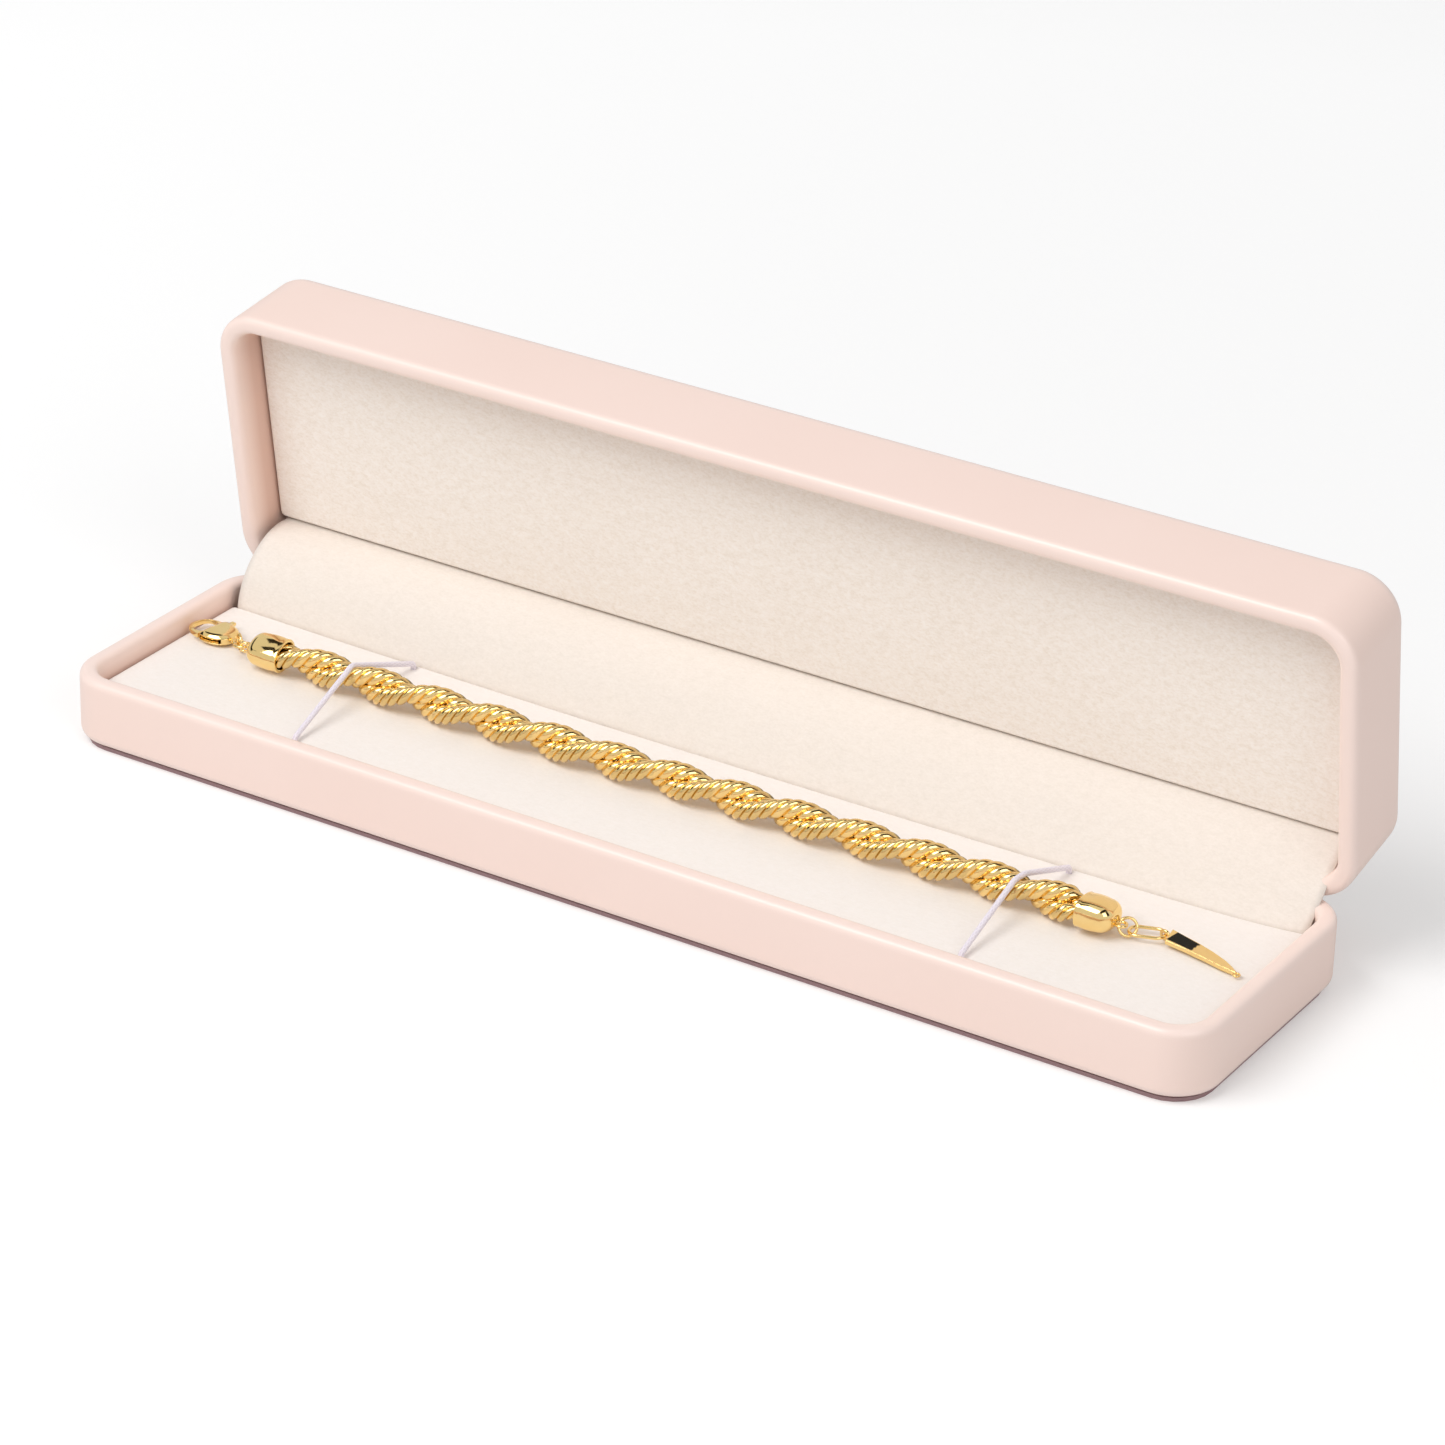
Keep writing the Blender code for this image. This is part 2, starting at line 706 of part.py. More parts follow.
def hinge_flap():
    """The velvet flap, tucked behind both pads, with its crossing swelling towards the front."""
    tail_y = BASE_PAD_REAR + CLEARANCE + FLAP_THICKNESS / 2
    lid_y = LID_PAD_REAR + CLEARANCE + FLAP_THICKNESS / 2
    start = Vector((tail_y, BASE_PAD_TOP))
    end = Vector(opened(lid_y, LID_PAD_FACE))
    span = end - start
    swell = Vector((-span.y, span.x)).normalized() * 2 * FLAP_BULGE
    control = (start + end) / 2 + swell
    path = [(tail_y, BASE_PAD_TOP - FLAP_TAIL)]
    for step in range(FLAP_STEPS + 1):
        share = step / FLAP_STEPS
        point = start * (1 - share) ** 2 + control * 2 * share * (1 - share) + end * share ** 2
        path.append(tuple(point))
    path.append(opened(lid_y, LID_PAD_FACE + FLAP_TAIL))
    width = CASE_LENGTH - 2 * (RIM_THICKNESS + FLAP_SIDE_GAP)
    strip("hinge_flap", path, FLAP_THICKNESS, 0, width, VELVET)


# Bracelet

def twist_angle(x):
    """Angle from +Y of one strand's place round the rope. Both strands wind left-handed."""
    return math.radians(LOBE_DEGREES) - 2 * math.pi * (x - LOBE_X) / TWIST_PITCH


def rope_strand(name, half_turn):
    """One strand of the rope, drawn in where both ends tuck into the caps."""
    start, end = ROPE_START - STRAND_TUCK, ROPE_END + STRAND_TUCK
    steps = round(TWIST_STEPS * (end - start) / TWIST_PITCH)
    points, radii = [], []
    for step in range(steps + 1):
        x = start + (end - start) * step / steps
        free_run = max(0, min(x - ROPE_START, ROPE_END - x))
        tucked = 1 - min(1, free_run / SQUEEZE_RUN)
        helix = HELIX_RADIUS + (TUCKED_HELIX - HELIX_RADIUS) * tucked
        angle = twist_angle(x) + half_turn
        points.append((x, ROPE_Y + helix * math.cos(angle), ROPE_Z + helix * math.sin(angle)))
        radii.append(STRAND_RADIUS + (TUCKED_RADIUS - STRAND_RADIUS) * tucked)
    tube(name, points, radii, GOLD)


def cap_rows():
    """Rows of an end cap from its rounded nose to its mouth and back down its pocket."""
    rows = []
    for step in range(ARC_STEPS + 1):
        angle = math.radians(90 * step / ARC_STEPS)
        rows.append((CAP_NOSE * (1 - math.sin(angle)), CAP_NOSE * (1 - math.cos(angle))))
    rows += [(0, CAP_LENGTH), (CAP_WALL, CAP_LENGTH), (CAP_WALL, CAP_LENGTH - CAP_POCKET)]
    return rows


def end_cap(name, mouth_x, outward, eye_normal):
    """A flattened cup over the rope's end, turned to the strands. Returns its nose eye's centre."""
    plan = Plan(CAP_WIDTH / 2, -CAP_HEIGHT / 2, CAP_HEIGHT / 2, CAP_CORNER, CAP_CORNER)
    cap = stacked(name, plan, cap_rows(), GOLD)
    nose_x = mouth_x + outward * CAP_LENGTH
    tilt = twist_angle(mouth_x + outward * STRAND_TUCK / 2)
    along = Vector((-outward, 0, 0))
    wide = Vector((0, math.cos(tilt), math.sin(tilt)))
    frame = Matrix((wide, along.cross(wide), along)).transposed().to_4x4()
    cap.data.transform(Matrix.Translation((nose_x, ROPE_Y, ROPE_Z)) @ frame)
    centre = Vector((nose_x + outward * EYE_RADIUS, ROPE_Y, EYE_Z))
    eye = wire_ring(name + "_eye", centre, eye_normal, EYE_RADIUS, EYE_WIRE, None)
    combine(cap, eye, "UNION")
    return centre


def link_step(first, second, wires):
    """How far apart two linked rings' centres lie when the chain is drawn out."""
    return first + second - wires - CHAIN_PLAY


def run_down(heading, run, drop):
    """A step of a length run, along a heading in degrees, that loses the height drop."""
    level = math.sqrt(run ** 2 - drop ** 2)
    turn = math.radians(heading)
    return Vector((level * math.cos(turn), level * math.sin(turn), -drop))


def clasp_chain():
    """Left cap and two rings, flat then standing, to the clasp's tail eye. Returns its centre."""
    eye = end_cap("end_cap_left", ROPE_START, -1, (0, 1, 0))
    to_ring = link_step(EYE_RADIUS, RING_RADIUS, EYE_WIRE + RING_WIRE)
    ring_to_ring = link_step(RING_RADIUS, RING_RADIUS, 2 * RING_WIRE)
    across = run_down(CHAIN_HEADING + 90, 1, 0)
    way = run_down(CHAIN_HEADING, to_ring + ring_to_ring, EYE_Z - RING_Z).normalized()
    near = eye + way * to_ring
    far = near + way * ring_to_ring
    wire_ring("clasp_ring_near", near, way.cross(across), RING_RADIUS, RING_WIRE, GOLD)
    wire_ring("clasp_ring_far", far, across, RING_RADIUS, RING_WIRE, GOLD)
    return far + run_down(CHAIN_HEADING, to_ring, RING_Z - CLASP_Z)


def oval(centre_u, half_u, half_v, sides=24):
    """A closed oval outline, a little squarer than an ellipse."""
    points = []
    for step in range(sides):
        angle = 2 * math.pi * step / sides
        along, across = math.cos(angle), math.sin(angle)
        u = centre_u + half_u * math.copysign(abs(along) ** OVAL_SHARE, along)
        points.append((u, half_v * math.copysign(abs(across) ** OVAL_SHARE, across)))
    return points


def clasp_body(body_outline, hook_outline):
    """The slotted body and its hook, with the tail eye on a short neck."""
    half = CLASP_THICKNESS / 2
    reach = CLASP_HALF_WIDTH + OVERRUN
    body = flat_plate("clasp_body", body_outline, -half, half, GOLD, CLASP_EDGE)
    slot_half = SLOT_HEIGHT / 2
    slot = box("clasp_slot", (SLOT_START, -reach, -slot_half), (SLOT_END, reach, slot_half))
    hook = flat_plate("clasp_hook_opening", hook_outline, -half - OVERRUN, half + OVERRUN, None)
    gate_low = (GATE_START - GATE_GAP, -reach, -half - OVERRUN)
    gate_high = (GATE_END + GATE_GAP, PIVOT_V + GATE_SWEEP, half + OVERRUN)
    rivet_hole = rod(
        "clasp_rivet_hole", (PIVOT_U, PIVOT_V, 0), (0, 0, 1),
        RIVET_RADIUS + BORE_CLEARANCE, CLASP_THICKNESS + OVERRUN,
    )
    for cutter in (slot, hook, box("clasp_gate_way", gate_low, gate_high), rivet_hole):
        combine(body, cutter, "DIFFERENCE")
    neck_half = EYE_RADIUS / 2
    neck_low = (EYE_RADIUS, -neck_half, -EYE_WIRE)
    neck_high = ((CLASP_START + SLOT_START) / 2, neck_half, EYE_WIRE)
    combine(body, box("clasp_neck", neck_low, neck_high), "UNION")
    eye = wire_ring("clasp_tail_eye", (0, 0, 0), (0, 0, 1), EYE_RADIUS, EYE_WIRE, None)
    combine(body, eye, "UNION")
    return body


def clasp_lever(body_outline, hook_outline):
    """The lever: a plate in the slot with a thumb nub, and a gate that closes the hook."""
    plate_shares = [
        (0.55, 1.44), (0.64, 1.44), (0.64, 1.06), (0.59, 0.50), (0.54, -0.12), (0.62, -0.44),
        (0.76, -0.55), (0.76, -0.75), (0.60, -0.78), (0.42, -0.69), (0.33, -0.50), (0.32, -0.16),
        (0.42, 0.25), (0.52, 0.81),
    ]
    outline = [(u * CLASP_LENGTH, v * CLASP_HALF_WIDTH) for u, v in plate_shares]
    half_plate = LEVER_THICKNESS / 2
    lever = flat_plate("clasp_lever", outline[::-1], -half_plate, half_plate, GOLD)
    half = GATE_THICKNESS / 2
    gate = flat_plate("clasp_gate", body_outline, -half, half, None)
    trim = flat_plate("clasp_gate_trim", hook_outline, -half - OVERRUN, half + OVERRUN, None)
    window_low = (GATE_START, -CLASP_HALF_WIDTH - OVERRUN, -half - OVERRUN)
    window_high = (GATE_END, PIVOT_V - CLEARANCE, half + OVERRUN)
    combine(gate, box("clasp_gate_window", window_low, window_high), "INTERSECT")
    combine(gate, trim, "DIFFERENCE")
    hole = rod(
        "clasp_lever_hole", (PIVOT_U, PIVOT_V, 0), (0, 0, 1),
        RIVET_RADIUS + BORE_CLEARANCE, CLASP_THICKNESS,
    )
    combine(lever, gate, "UNION")
    combine(lever, hole, "DIFFERENCE")
    return lever


def clasp_spring():
    """A small bowed leaf in the slot, between the tail and the lever."""
    middle = SLOT_START + CLEARANCE + CLASP_SPRING_THICKNESS / 2
    bow = CLASP_SPRING_THICKNESS / 2
    reach = CLASP_HALF_WIDTH / 2
    path = [(reach, middle - bow), (reach / 3, middle), (-reach / 3, middle), (-reach, middle - bow)]
    spring = strip("clasp_spring", path, CLASP_SPRING_THICKNESS, 0, LEVER_THICKNESS, STEEL)
    spring.data.transform(Matrix(((0, 0, 1, 0), (0, 1, 0, 0), (-1, 0, 0, 0), (0, 0, 0, 1))))
    return spring


def clasp(tail):
    """A lobster clasp lying on the pad, its lever on a rivet and held shut by a spring."""
    body_outline = oval(CLASP_START + CLASP_LENGTH / 2, CLASP_LENGTH / 2, CLASP_HALF_WIDTH)
    hook_outline = oval(HOOK_CENTRE, HOOK_HALF_LENGTH, HOOK_HALF_WIDTH, 16)
    body = clasp_body(body_outline, hook_outline)
    lever = clasp_lever(body_outline, hook_outline)
    rivet_place = (PIVOT_U, PIVOT_V, 0)
    rivet = rod("clasp_rivet", rivet_place, (0, 0, 1), RIVET_RADIUS, CLASP_THICKNESS, GOLD)
    turn = Matrix.Rotation(math.radians(CLASP_HEADING), 4, "Z") @ Matrix.Rotation(math.pi, 4, "X")
    place = Matrix.Translation(tail) @ turn
    clasp_parts = [body, lever, rivet, clasp_spring()]
    moved(clasp_parts, place)
    hung_on_pivot("clasp_pivot", tail, Matrix(), [body, rivet, clasp_parts[-1]])
    hung_on_pivot("clasp_lever_pivot", place @ Vector(rivet_place), Matrix(), [lever])


def tag_chain():
    """Right cap, a standing ring and a long link to the tag's eye. Returns its centre."""
    eye = end_cap("end_cap_right", ROPE_END, 1, (0, 0, 1))
    to_ring = link_step(EYE_RADIUS, RING_RADIUS, EYE_WIRE + RING_WIRE)
    ring = eye + run_down(TAG_RING_HEADING, to_ring, EYE_Z - RING_Z)
    across = run_down(TAG_RING_HEADING + 90, 1, 0)
    wire_ring("tag_ring", ring, across, RING_RADIUS, RING_WIRE, GOLD)
    inside = RING_RADIUS - 2 * RING_WIRE - CHAIN_PLAY
    dip = inside * math.sin(math.radians(TAG_RING_DIP))
    start = ring + run_down(TAG_RING_HEADING, inside, dip)
    run = run_down(LINK_HEADING, LINK_LENGTH, start.z - TAG_EYE_Z) / LINK_LENGTH
    side = run_down(LINK_HEADING + 90, 1, 0)
    straight = LINK_LENGTH / 2 - LINK_HALF_WIDTH
    points = []
    for turn, way in ((0, 1), (180, -1)):
        for u, v in arc((way * straight, 0), LINK_HALF_WIDTH, turn - 90, turn + 90, 7):
            points.append(start + run * (LINK_LENGTH / 2 + u) + side * v)
    tube("long_link", points, [RING_WIRE] * len(points), GOLD, resolution=1, cyclic=True)
    return start + run * (LINK_LENGTH + TAG_EYE_RADIUS - 2 * RING_WIRE - CHAIN_PLAY)


def tag(eye):
    """A flat polished blade shaped like a small horn, with an eye at each end."""
    half = TAG_THICKNESS / 2
    edge_shares = [
        (0.04, -0.49), (0.30, -0.44), (0.60, -0.46), (0.80, -0.50), (0.99, -0.47), (1.00, -0.42),
        (0.90, -0.20), (0.77, 0.02), (0.57, 0.22), (0.35, 0.36), (-0.04, 0.49),
    ]
    outline = [(TAG_EYE_RADIUS + u * TAG_LENGTH, v * TAG_WIDTH) for u, v in edge_shares]
    blade = flat_plate("tag", outline, -half, half, GOLD)
    tip_u, tip_v = outline[4]
    tip_place = (tip_u + TIP_EYE_RADIUS / 2, tip_v, 0)
    eye_ring = wire_ring("tag_eye", (0, 0, 0), (0, 1, 0), TAG_EYE_RADIUS, RING_WIRE, None)
    tip = wire_ring("tag_tip_eye", tip_place, (0, 0, 1), TIP_EYE_RADIUS, TIP_EYE_WIRE, None)
    combine(blade, eye_ring, "UNION")
    combine(blade, tip, "UNION")
    lean = math.asin((TAG_EYE_Z - PAD_SEAT - half) / (TAG_EYE_RADIUS + TAG_LENGTH))
    turn = Matrix.Rotation(math.radians(TAG_HEADING), 4, "Z") @ Matrix.Rotation(lean, 4, "Y")
    moved([blade], Matrix.Translation(eye) @ turn)
    hung_on_pivot("tag_pivot", eye, Matrix(), [blade])


# Elastic cords

def slit_bend(slit_y, inward):
    """Points where a cord leaves its slit and leans over towards the rope."""
    centre = (slit_y + inward * CORD_BEND, BASE_PAD_TOP + CLEARANCE)
    start, end = (180, 115) if inward > 0 else (0, 65)
    return arc(centre, CORD_BEND, start, end, 3)


def over_angle(point, radius):
    """Angle about the rope's axis where a straight run from the point first touches."""
    across, up = ROPE_Y - point[0], ROPE_Z - point[1]
    lean = math.atan2(up, abs(across)) + math.asin(radius / math.hypot(across, up))
    return 90 + math.copysign(math.degrees(lean), across)


def elastic_cord(name, x):
    """A white cord from a knot under the pad, over the rope and back to another knot."""
    knot_z = BASE_PAD_FOOT + POCKET_HEIGHT - CLEARANCE - KNOT_RADIUS
    front, rear = slit_bend(FRONT_SLIT_Y, 1), slit_bend(REAR_SLIT_Y, -1)
    radius = ROPE_RADIUS + CLEARANCE + CORD_RADIUS
    first, last = over_angle(front[-1], radius), over_angle(rear[-1], radius)
    over = arc((ROPE_Y, ROPE_Z), radius, first, last, 6)
    path = [(FRONT_SLIT_Y, knot_z), *front, *over, *rear[::-1], (REAR_SLIT_Y, knot_z)]
    points = [(x, y, z) for y, z in path]
    cord = tube(name, points, [CORD_RADIUS] * len(points), ELASTIC)
    for end, y in (("front", FRONT_SLIT_Y), ("rear", REAR_SLIT_Y)):
        combine(cord, ball(f"{name}_{end}_knot", (x, y, knot_z), KNOT_RADIUS), "UNION")


# Assembly

def main():
    lid_items = [*lid_shells(), *lid_pad_with_board()]
    base_items = base_shells()
    bottom_sheet()
    base_pad_with_board()
    for side, sign in (("left", -1), ("right", 1)):
        middle_x = sign * HINGE_X
        base_leaf(side, middle_x)
        hinge_pin(side, middle_x)
        hinge_spring(side, middle_x)
        lid_items.append(lid_leaf(side, middle_x))
        below = notch(f"base_notch_{side}", middle_x, BASE_TOP - NOTCH_DEPTH, LID_RIM + OVERRUN)
        above = notch(f"lid_notch_{side}", middle_x, BASE_TOP - OVERRUN, LID_RIM + NOTCH_DEPTH)
        for item in base_items:
            combine(item, below, "DIFFERENCE")
        for item in lid_items[:2]:
            combine(item, above, "DIFFERENCE")
    opening = Matrix.Rotation(-math.radians(OPEN_DEGREES), 4, "X")
    hung_on_pivot("lid_pivot", (0, HINGE_Y, HINGE_Z), opening, lid_items)
    hinge_flap()
    rope_strand("rope_strand_a", 0)
    rope_strand("rope_strand_b", math.pi)
    clasp(clasp_chain())
    tag(tag_chain())
    elastic_cord("elastic_left", CORD_LEFT_X)
    elastic_cord("elastic_right", CORD_RIGHT_X)


clear_scene()
PARTS = new_collection("bracelet_box")
CUTTERS = new_collection("cutters")
CUTTERS.hide_render = True
LEATHER, CORE, PAPER, BOARD = pink_leatherette(), moulded_core(), mauve_paper(), greyboard()
VELVET, STEEL, GOLD, ELASTIC = cream_velvet(), spring_steel(), polished_gold(), white_elastic()
main()
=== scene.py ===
# %% [markdown]
# # A bracelet box, standing open
# A long slim case in pink leatherette holds a gold rope bracelet on velvet pads. The model
# that carries and moves everything is loaded first, as a fixed frame. This script then gives
# each piece the surface that the real one has: a fine mesh where the plain solid is too
# coarse, and a material made of nodes everywhere.

# %% Load the frame
import math

import bmesh
import bpy
from mathutils import Matrix, Vector, geometry, noise


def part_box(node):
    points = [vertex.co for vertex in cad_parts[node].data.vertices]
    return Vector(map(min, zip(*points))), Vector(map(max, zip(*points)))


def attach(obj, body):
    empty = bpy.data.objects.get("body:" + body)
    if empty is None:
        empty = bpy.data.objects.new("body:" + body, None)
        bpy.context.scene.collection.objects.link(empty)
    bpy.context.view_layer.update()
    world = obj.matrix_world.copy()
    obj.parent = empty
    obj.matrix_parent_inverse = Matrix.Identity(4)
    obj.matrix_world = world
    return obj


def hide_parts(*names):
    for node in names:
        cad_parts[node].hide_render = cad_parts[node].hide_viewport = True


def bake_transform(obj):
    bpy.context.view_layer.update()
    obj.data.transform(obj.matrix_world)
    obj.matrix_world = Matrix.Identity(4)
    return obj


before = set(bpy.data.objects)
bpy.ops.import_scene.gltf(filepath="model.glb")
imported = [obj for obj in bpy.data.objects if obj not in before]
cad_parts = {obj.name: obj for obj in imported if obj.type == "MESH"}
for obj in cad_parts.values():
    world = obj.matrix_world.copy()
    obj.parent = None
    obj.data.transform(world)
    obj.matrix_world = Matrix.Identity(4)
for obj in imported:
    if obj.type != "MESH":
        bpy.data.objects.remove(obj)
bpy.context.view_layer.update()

# %% [markdown]
# The camera comes first, so that everything after it can be judged against the photograph.
# A camera can be turned by hand, by an empty that it tracks, or by angles. Angles are used:
# they are what was measured, and a long lens far away gives the photograph's flat perspective.

# %% Camera
MM = 0.001
CAMERA_PLACE = (429.492 * MM, -687.851 * MM, 435.036 * MM)
CAMERA_AZIMUTH = math.radians(31.556)
CAMERA_ELEVATION = math.radians(26.803)
CAMERA_ROLL = math.radians(1.674)
CAMERA_LENS = 134.77
CAMERA_SENSOR = 36.0


def add_camera():
    data = bpy.data.cameras.new("camera")
    data.lens = CAMERA_LENS
    data.sensor_width = CAMERA_SENSOR
    data.sensor_fit = "HORIZONTAL"
    data.clip_start = 0.01
    camera = bpy.data.objects.new("camera", data)
    bpy.context.scene.collection.objects.link(camera)
    across = math.cos(CAMERA_ELEVATION)
    back = Vector((
        math.sin(CAMERA_AZIMUTH) * across, -math.cos(CAMERA_AZIMUTH) * across,
        math.sin(CAMERA_ELEVATION),
    ))
    level = (-back).to_track_quat("-Z", "Y").to_matrix().to_4x4()
    camera.matrix_world = (
        Matrix.Translation(CAMERA_PLACE) @ level @ Matrix.Rotation(CAMERA_ROLL, 4, "Z")
    )
    bpy.context.scene.camera = camera


add_camera()
print("camera:", [round(x, 3) for x in bpy.context.scene.camera.location])

# %% [markdown]
# Materials and node groups are long lists of nodes. Writing them as sums is easier to read,
# so one small class wraps a node's output and lets Python's operators add the Math nodes.

# %% Node arithmetic
class Value:
    """The output of a node, which sums and products can be written with."""

    def __init__(self, nodes, socket):
        self.nodes = nodes
        self.socket = socket

    def math(self, operation, *others):
        return self.nodes.add("ShaderNodeMath", {"operation": operation}, [self, *others])

    def __add__(self, other):
        return self.math("ADD", other)

    def __radd__(self, other):
        return self.math("ADD", other)

    def __sub__(self, other):
        return self.math("SUBTRACT", other)

    def __rsub__(self, other):
        return self.nodes.add("ShaderNodeMath", {"operation": "SUBTRACT"}, [other, self])

    def __mul__(self, other):
        return self.math("MULTIPLY", other)

    def __rmul__(self, other):
        return self.math("MULTIPLY", other)

    def __truediv__(self, other):
        return self.math("DIVIDE", other)

    def clamped(self):
        return self.math("MAXIMUM", 0.0).math("MINIMUM", 1.0)

    def output(self, key):
        """Another output of the same node, by its name or number."""
        return Value(self.nodes, self.socket.node.outputs[key])


class Nodes:
    """A node tree to write in."""

    def __init__(self, tree):
        self.tree = tree

    def add(self, kind, settings=None, inputs=(), output=0):
        """Adds a node: settings first, then a value or a link for each named or numbered input."""
        node = self.tree.nodes.new(kind)
        for name, value in (settings or {}).items():
            if name == "stops":
                fill_ramp(node.color_ramp, value)
            else:
                setattr(node, name, value)
        pairs = inputs.items() if isinstance(inputs, dict) else enumerate(inputs)
        for key, value in pairs:
            if isinstance(value, Value):
                self.tree.links.new(value.socket, node.inputs[key])
            else:
                node.inputs[key].default_value = value
        return Value(self, node.outputs[output])

    def ramp(self, factor, *stops):
        return self.add("ShaderNodeValToRGB", {"stops": stops}, {"Fac": factor})

    def mix(self, factor, first, second):
        """A colour mix. The sockets 0, 6 and 7 are its factor and its two colours."""
        inputs = {0: factor, 6: first, 7: second}
        return self.add("ShaderNodeMix", {"data_type": "RGBA"}, inputs, output=2)

    def noise(self, place, scale, detail=2.0, roughness=0.5):
        """A noise value, about 0.5, whose features are about 1 / scale metres across."""
        values = {"Vector": place, "Scale": scale, "Detail": detail, "Roughness": roughness}
        return self.add("ShaderNodeTexNoise", {"noise_dimensions": "3D"}, values)


def fill_ramp(ramp, stops):
    while len(ramp.elements) < len(stops):
        ramp.elements.new(1.0)
    for element, (place, colour) in zip(ramp.elements, stops):
        element.position = place
        element.color = colour


def linear(red, green, blue):
    """A colour from its 0 to 255 screen values, as the linear values that sockets hold."""
    def one(value):
        share = value / 255
        return share / 12.92 if share <= 0.04045 else ((share + 0.055) / 1.055) ** 2.4
    return (one(red), one(green), one(blue), 1.0)


def new_material(name, **constants):
    """A material, its nodes, and its shader with constant values set on its own sockets."""
    material = bpy.data.materials.new(name)
    material.use_nodes = True
    shader = material.node_tree.nodes["Principled BSDF"]
    for socket, value in constants.items():
        shader.inputs[socket.replace("_", " ")].default_value = value
    nodes = Nodes(material.node_tree)
    place = nodes.add("ShaderNodeTexCoord", output="Object")
    return material, nodes, shader, place


def feed(nodes, shader, **links):
    for socket, value in links.items():
        nodes.tree.links.new(value.socket, shader.inputs[socket.replace("_", " ")])


def bump(nodes, height, strength, distance):
    values = {"Strength": strength, "Distance": distance, "Height": height}
    return nodes.add("ShaderNodeBump", None, values)


print("node arithmetic ready")

# %% [markdown]
# The leatherette is a coated fabric, pale pink with a soft gloss. Up close it has a very fine
# pebble and a few faint flow marks. An image could carry that, but noise at two scales is
# enough, and it stays sharp at any distance. The mesh writes an attribute that is 1 along the
# folded rims, where the coating is polished and a little paler from wear, and -1 down the
# inner walls, whose deeper colour there is painted shade.

# %% Leatherette
LEATHER_COLOUR = linear(248, 224, 214)
LEATHER_PALE = linear(251, 232, 224)
LEATHER_DEEP = linear(245, 219, 208)
# Painted shade: the deeper colour of the inner walls.
LEATHER_PAINTED_SHADE = linear(228, 193, 178)
LEATHER_CLOUD_SCALE = 28.0
LEATHER_PEBBLE_SCALE = 2600.0
LEATHER_FINE_SCALE = 5200.0
LEATHER_RELIEF = 0.06 * MM
LEATHER_ROUGHNESS = 0.44
LEATHER_COAT = 0.08
WORN_COAT = 0.3


def leatherette():
    material, nodes, shader, place = new_material(
        "pink_leatherette", Coat_Roughness=0.22, Specular_IOR_Level=0.4
    )
    wear_and_shade_signed = nodes.add("ShaderNodeAttribute", {"attribute_name": "wear"}, output=2)
    # The positive part is rim wear; the negative part marks the inner walls for painted shade.
    wear = wear_and_shade_signed.math("MAXIMUM", 0.0)
    inside = (wear_and_shade_signed * -1.0).math("MAXIMUM", 0.0)
    cloud = nodes.noise(place, LEATHER_CLOUD_SCALE, 3.0)
    pebble = nodes.add(
        "ShaderNodeTexVoronoi", {"feature": "SMOOTH_F1"},
        {"Vector": place, "Scale": LEATHER_PEBBLE_SCALE, "Smoothness": 0.6},
    )
    fine = nodes.noise(place, LEATHER_FINE_SCALE, 2.0)
    colour = nodes.mix(cloud, LEATHER_DEEP, LEATHER_COLOUR)
    colour = nodes.mix(wear * 0.45 + (cloud - 0.5) * 0.2, colour, LEATHER_PALE)
    # Painted shade: the inner walls are darkened.
    colour = nodes.mix(inside, colour, LEATHER_PAINTED_SHADE)
    roughness = LEATHER_ROUGHNESS - wear * 0.12 + (cloud - 0.5) * 0.10 + (pebble - 0.5) * 0.06
    grain = pebble * 0.7 + fine * 0.3
    feed(
        nodes, shader, Base_Color=colour, Roughness=roughness,
        Coat_Weight=LEATHER_COAT + wear * WORN_COAT,
        Normal=bump(nodes, grain, 0.16, LEATHER_RELIEF),
    )
    return material


LEATHER = leatherette()
print("material:", LEATHER.name)

# %% [markdown]
# The velvet is a flocked cream cloth. Its short pile lies in patches, which catch the light
# unevenly, so the real face looks mottled. Hair strands would show that too, but they can't be
# exported. Here stretched noise tints the patches, finer noise makes the pile's bump, and the
# shader's sheen lights it at a glancing angle.

# %% Velvet
LID_VELVET = (linear(240, 229, 217), linear(248, 239, 230), linear(252, 245, 238))
PAD_VELVET = (linear(238, 231, 225), linear(245, 239, 234), linear(250, 245, 242))
FLAP_VELVET = (linear(228, 219, 209), linear(236, 227, 218), linear(241, 233, 225))
PATCH_SCALE = 1000.0
DRIFT_SCALE = 45.0
PILE_SCALE = 2600.0
TUFT_SCALE = 1100.0
PILE_RELIEF = 0.14 * MM


def velvet(name, tones, mottle):
    deep, middle, light = tones
    material, nodes, shader, place = new_material(
        name, Roughness=0.95, Sheen_Weight=0.2, Sheen_Roughness=0.45, Specular_IOR_Level=0.15
    )
    combed = nodes.add("ShaderNodeMapping", None, {"Vector": place, "Scale": (0.6, 1.0, 1.0)})
    patches = nodes.noise(combed, PATCH_SCALE, 4.0, 0.6)
    drift = nodes.noise(place, DRIFT_SCALE, 2.0)
    pile = nodes.noise(combed, PILE_SCALE, 3.0, 0.7)
    tuft = nodes.noise(place, TUFT_SCALE, 3.0, 0.6)
    shade = (patches - 0.5) * mottle * 0.6 + (pile - 0.5) * mottle + (drift - 0.5) * 0.1 + 0.5
    colour = nodes.ramp(shade, (0.22, deep), (0.5, middle), (0.74, light))
    height = pile * 0.55 + tuft * 0.45
    feed(nodes, shader, Base_Color=colour, Normal=bump(nodes, height, 0.3, PILE_RELIEF))
    return material


VELVET_LID = velvet("cream_velvet_lid", LID_VELVET, 1.2)
VELVET_PAD = velvet("cream_velvet_pad", PAD_VELVET, 0.45)
VELVET_FLAP = velvet("cream_velvet_flap", FLAP_VELVET, 0.7)
print("materials:", VELVET_LID.name, VELVET_PAD.name, VELVET_FLAP.name)
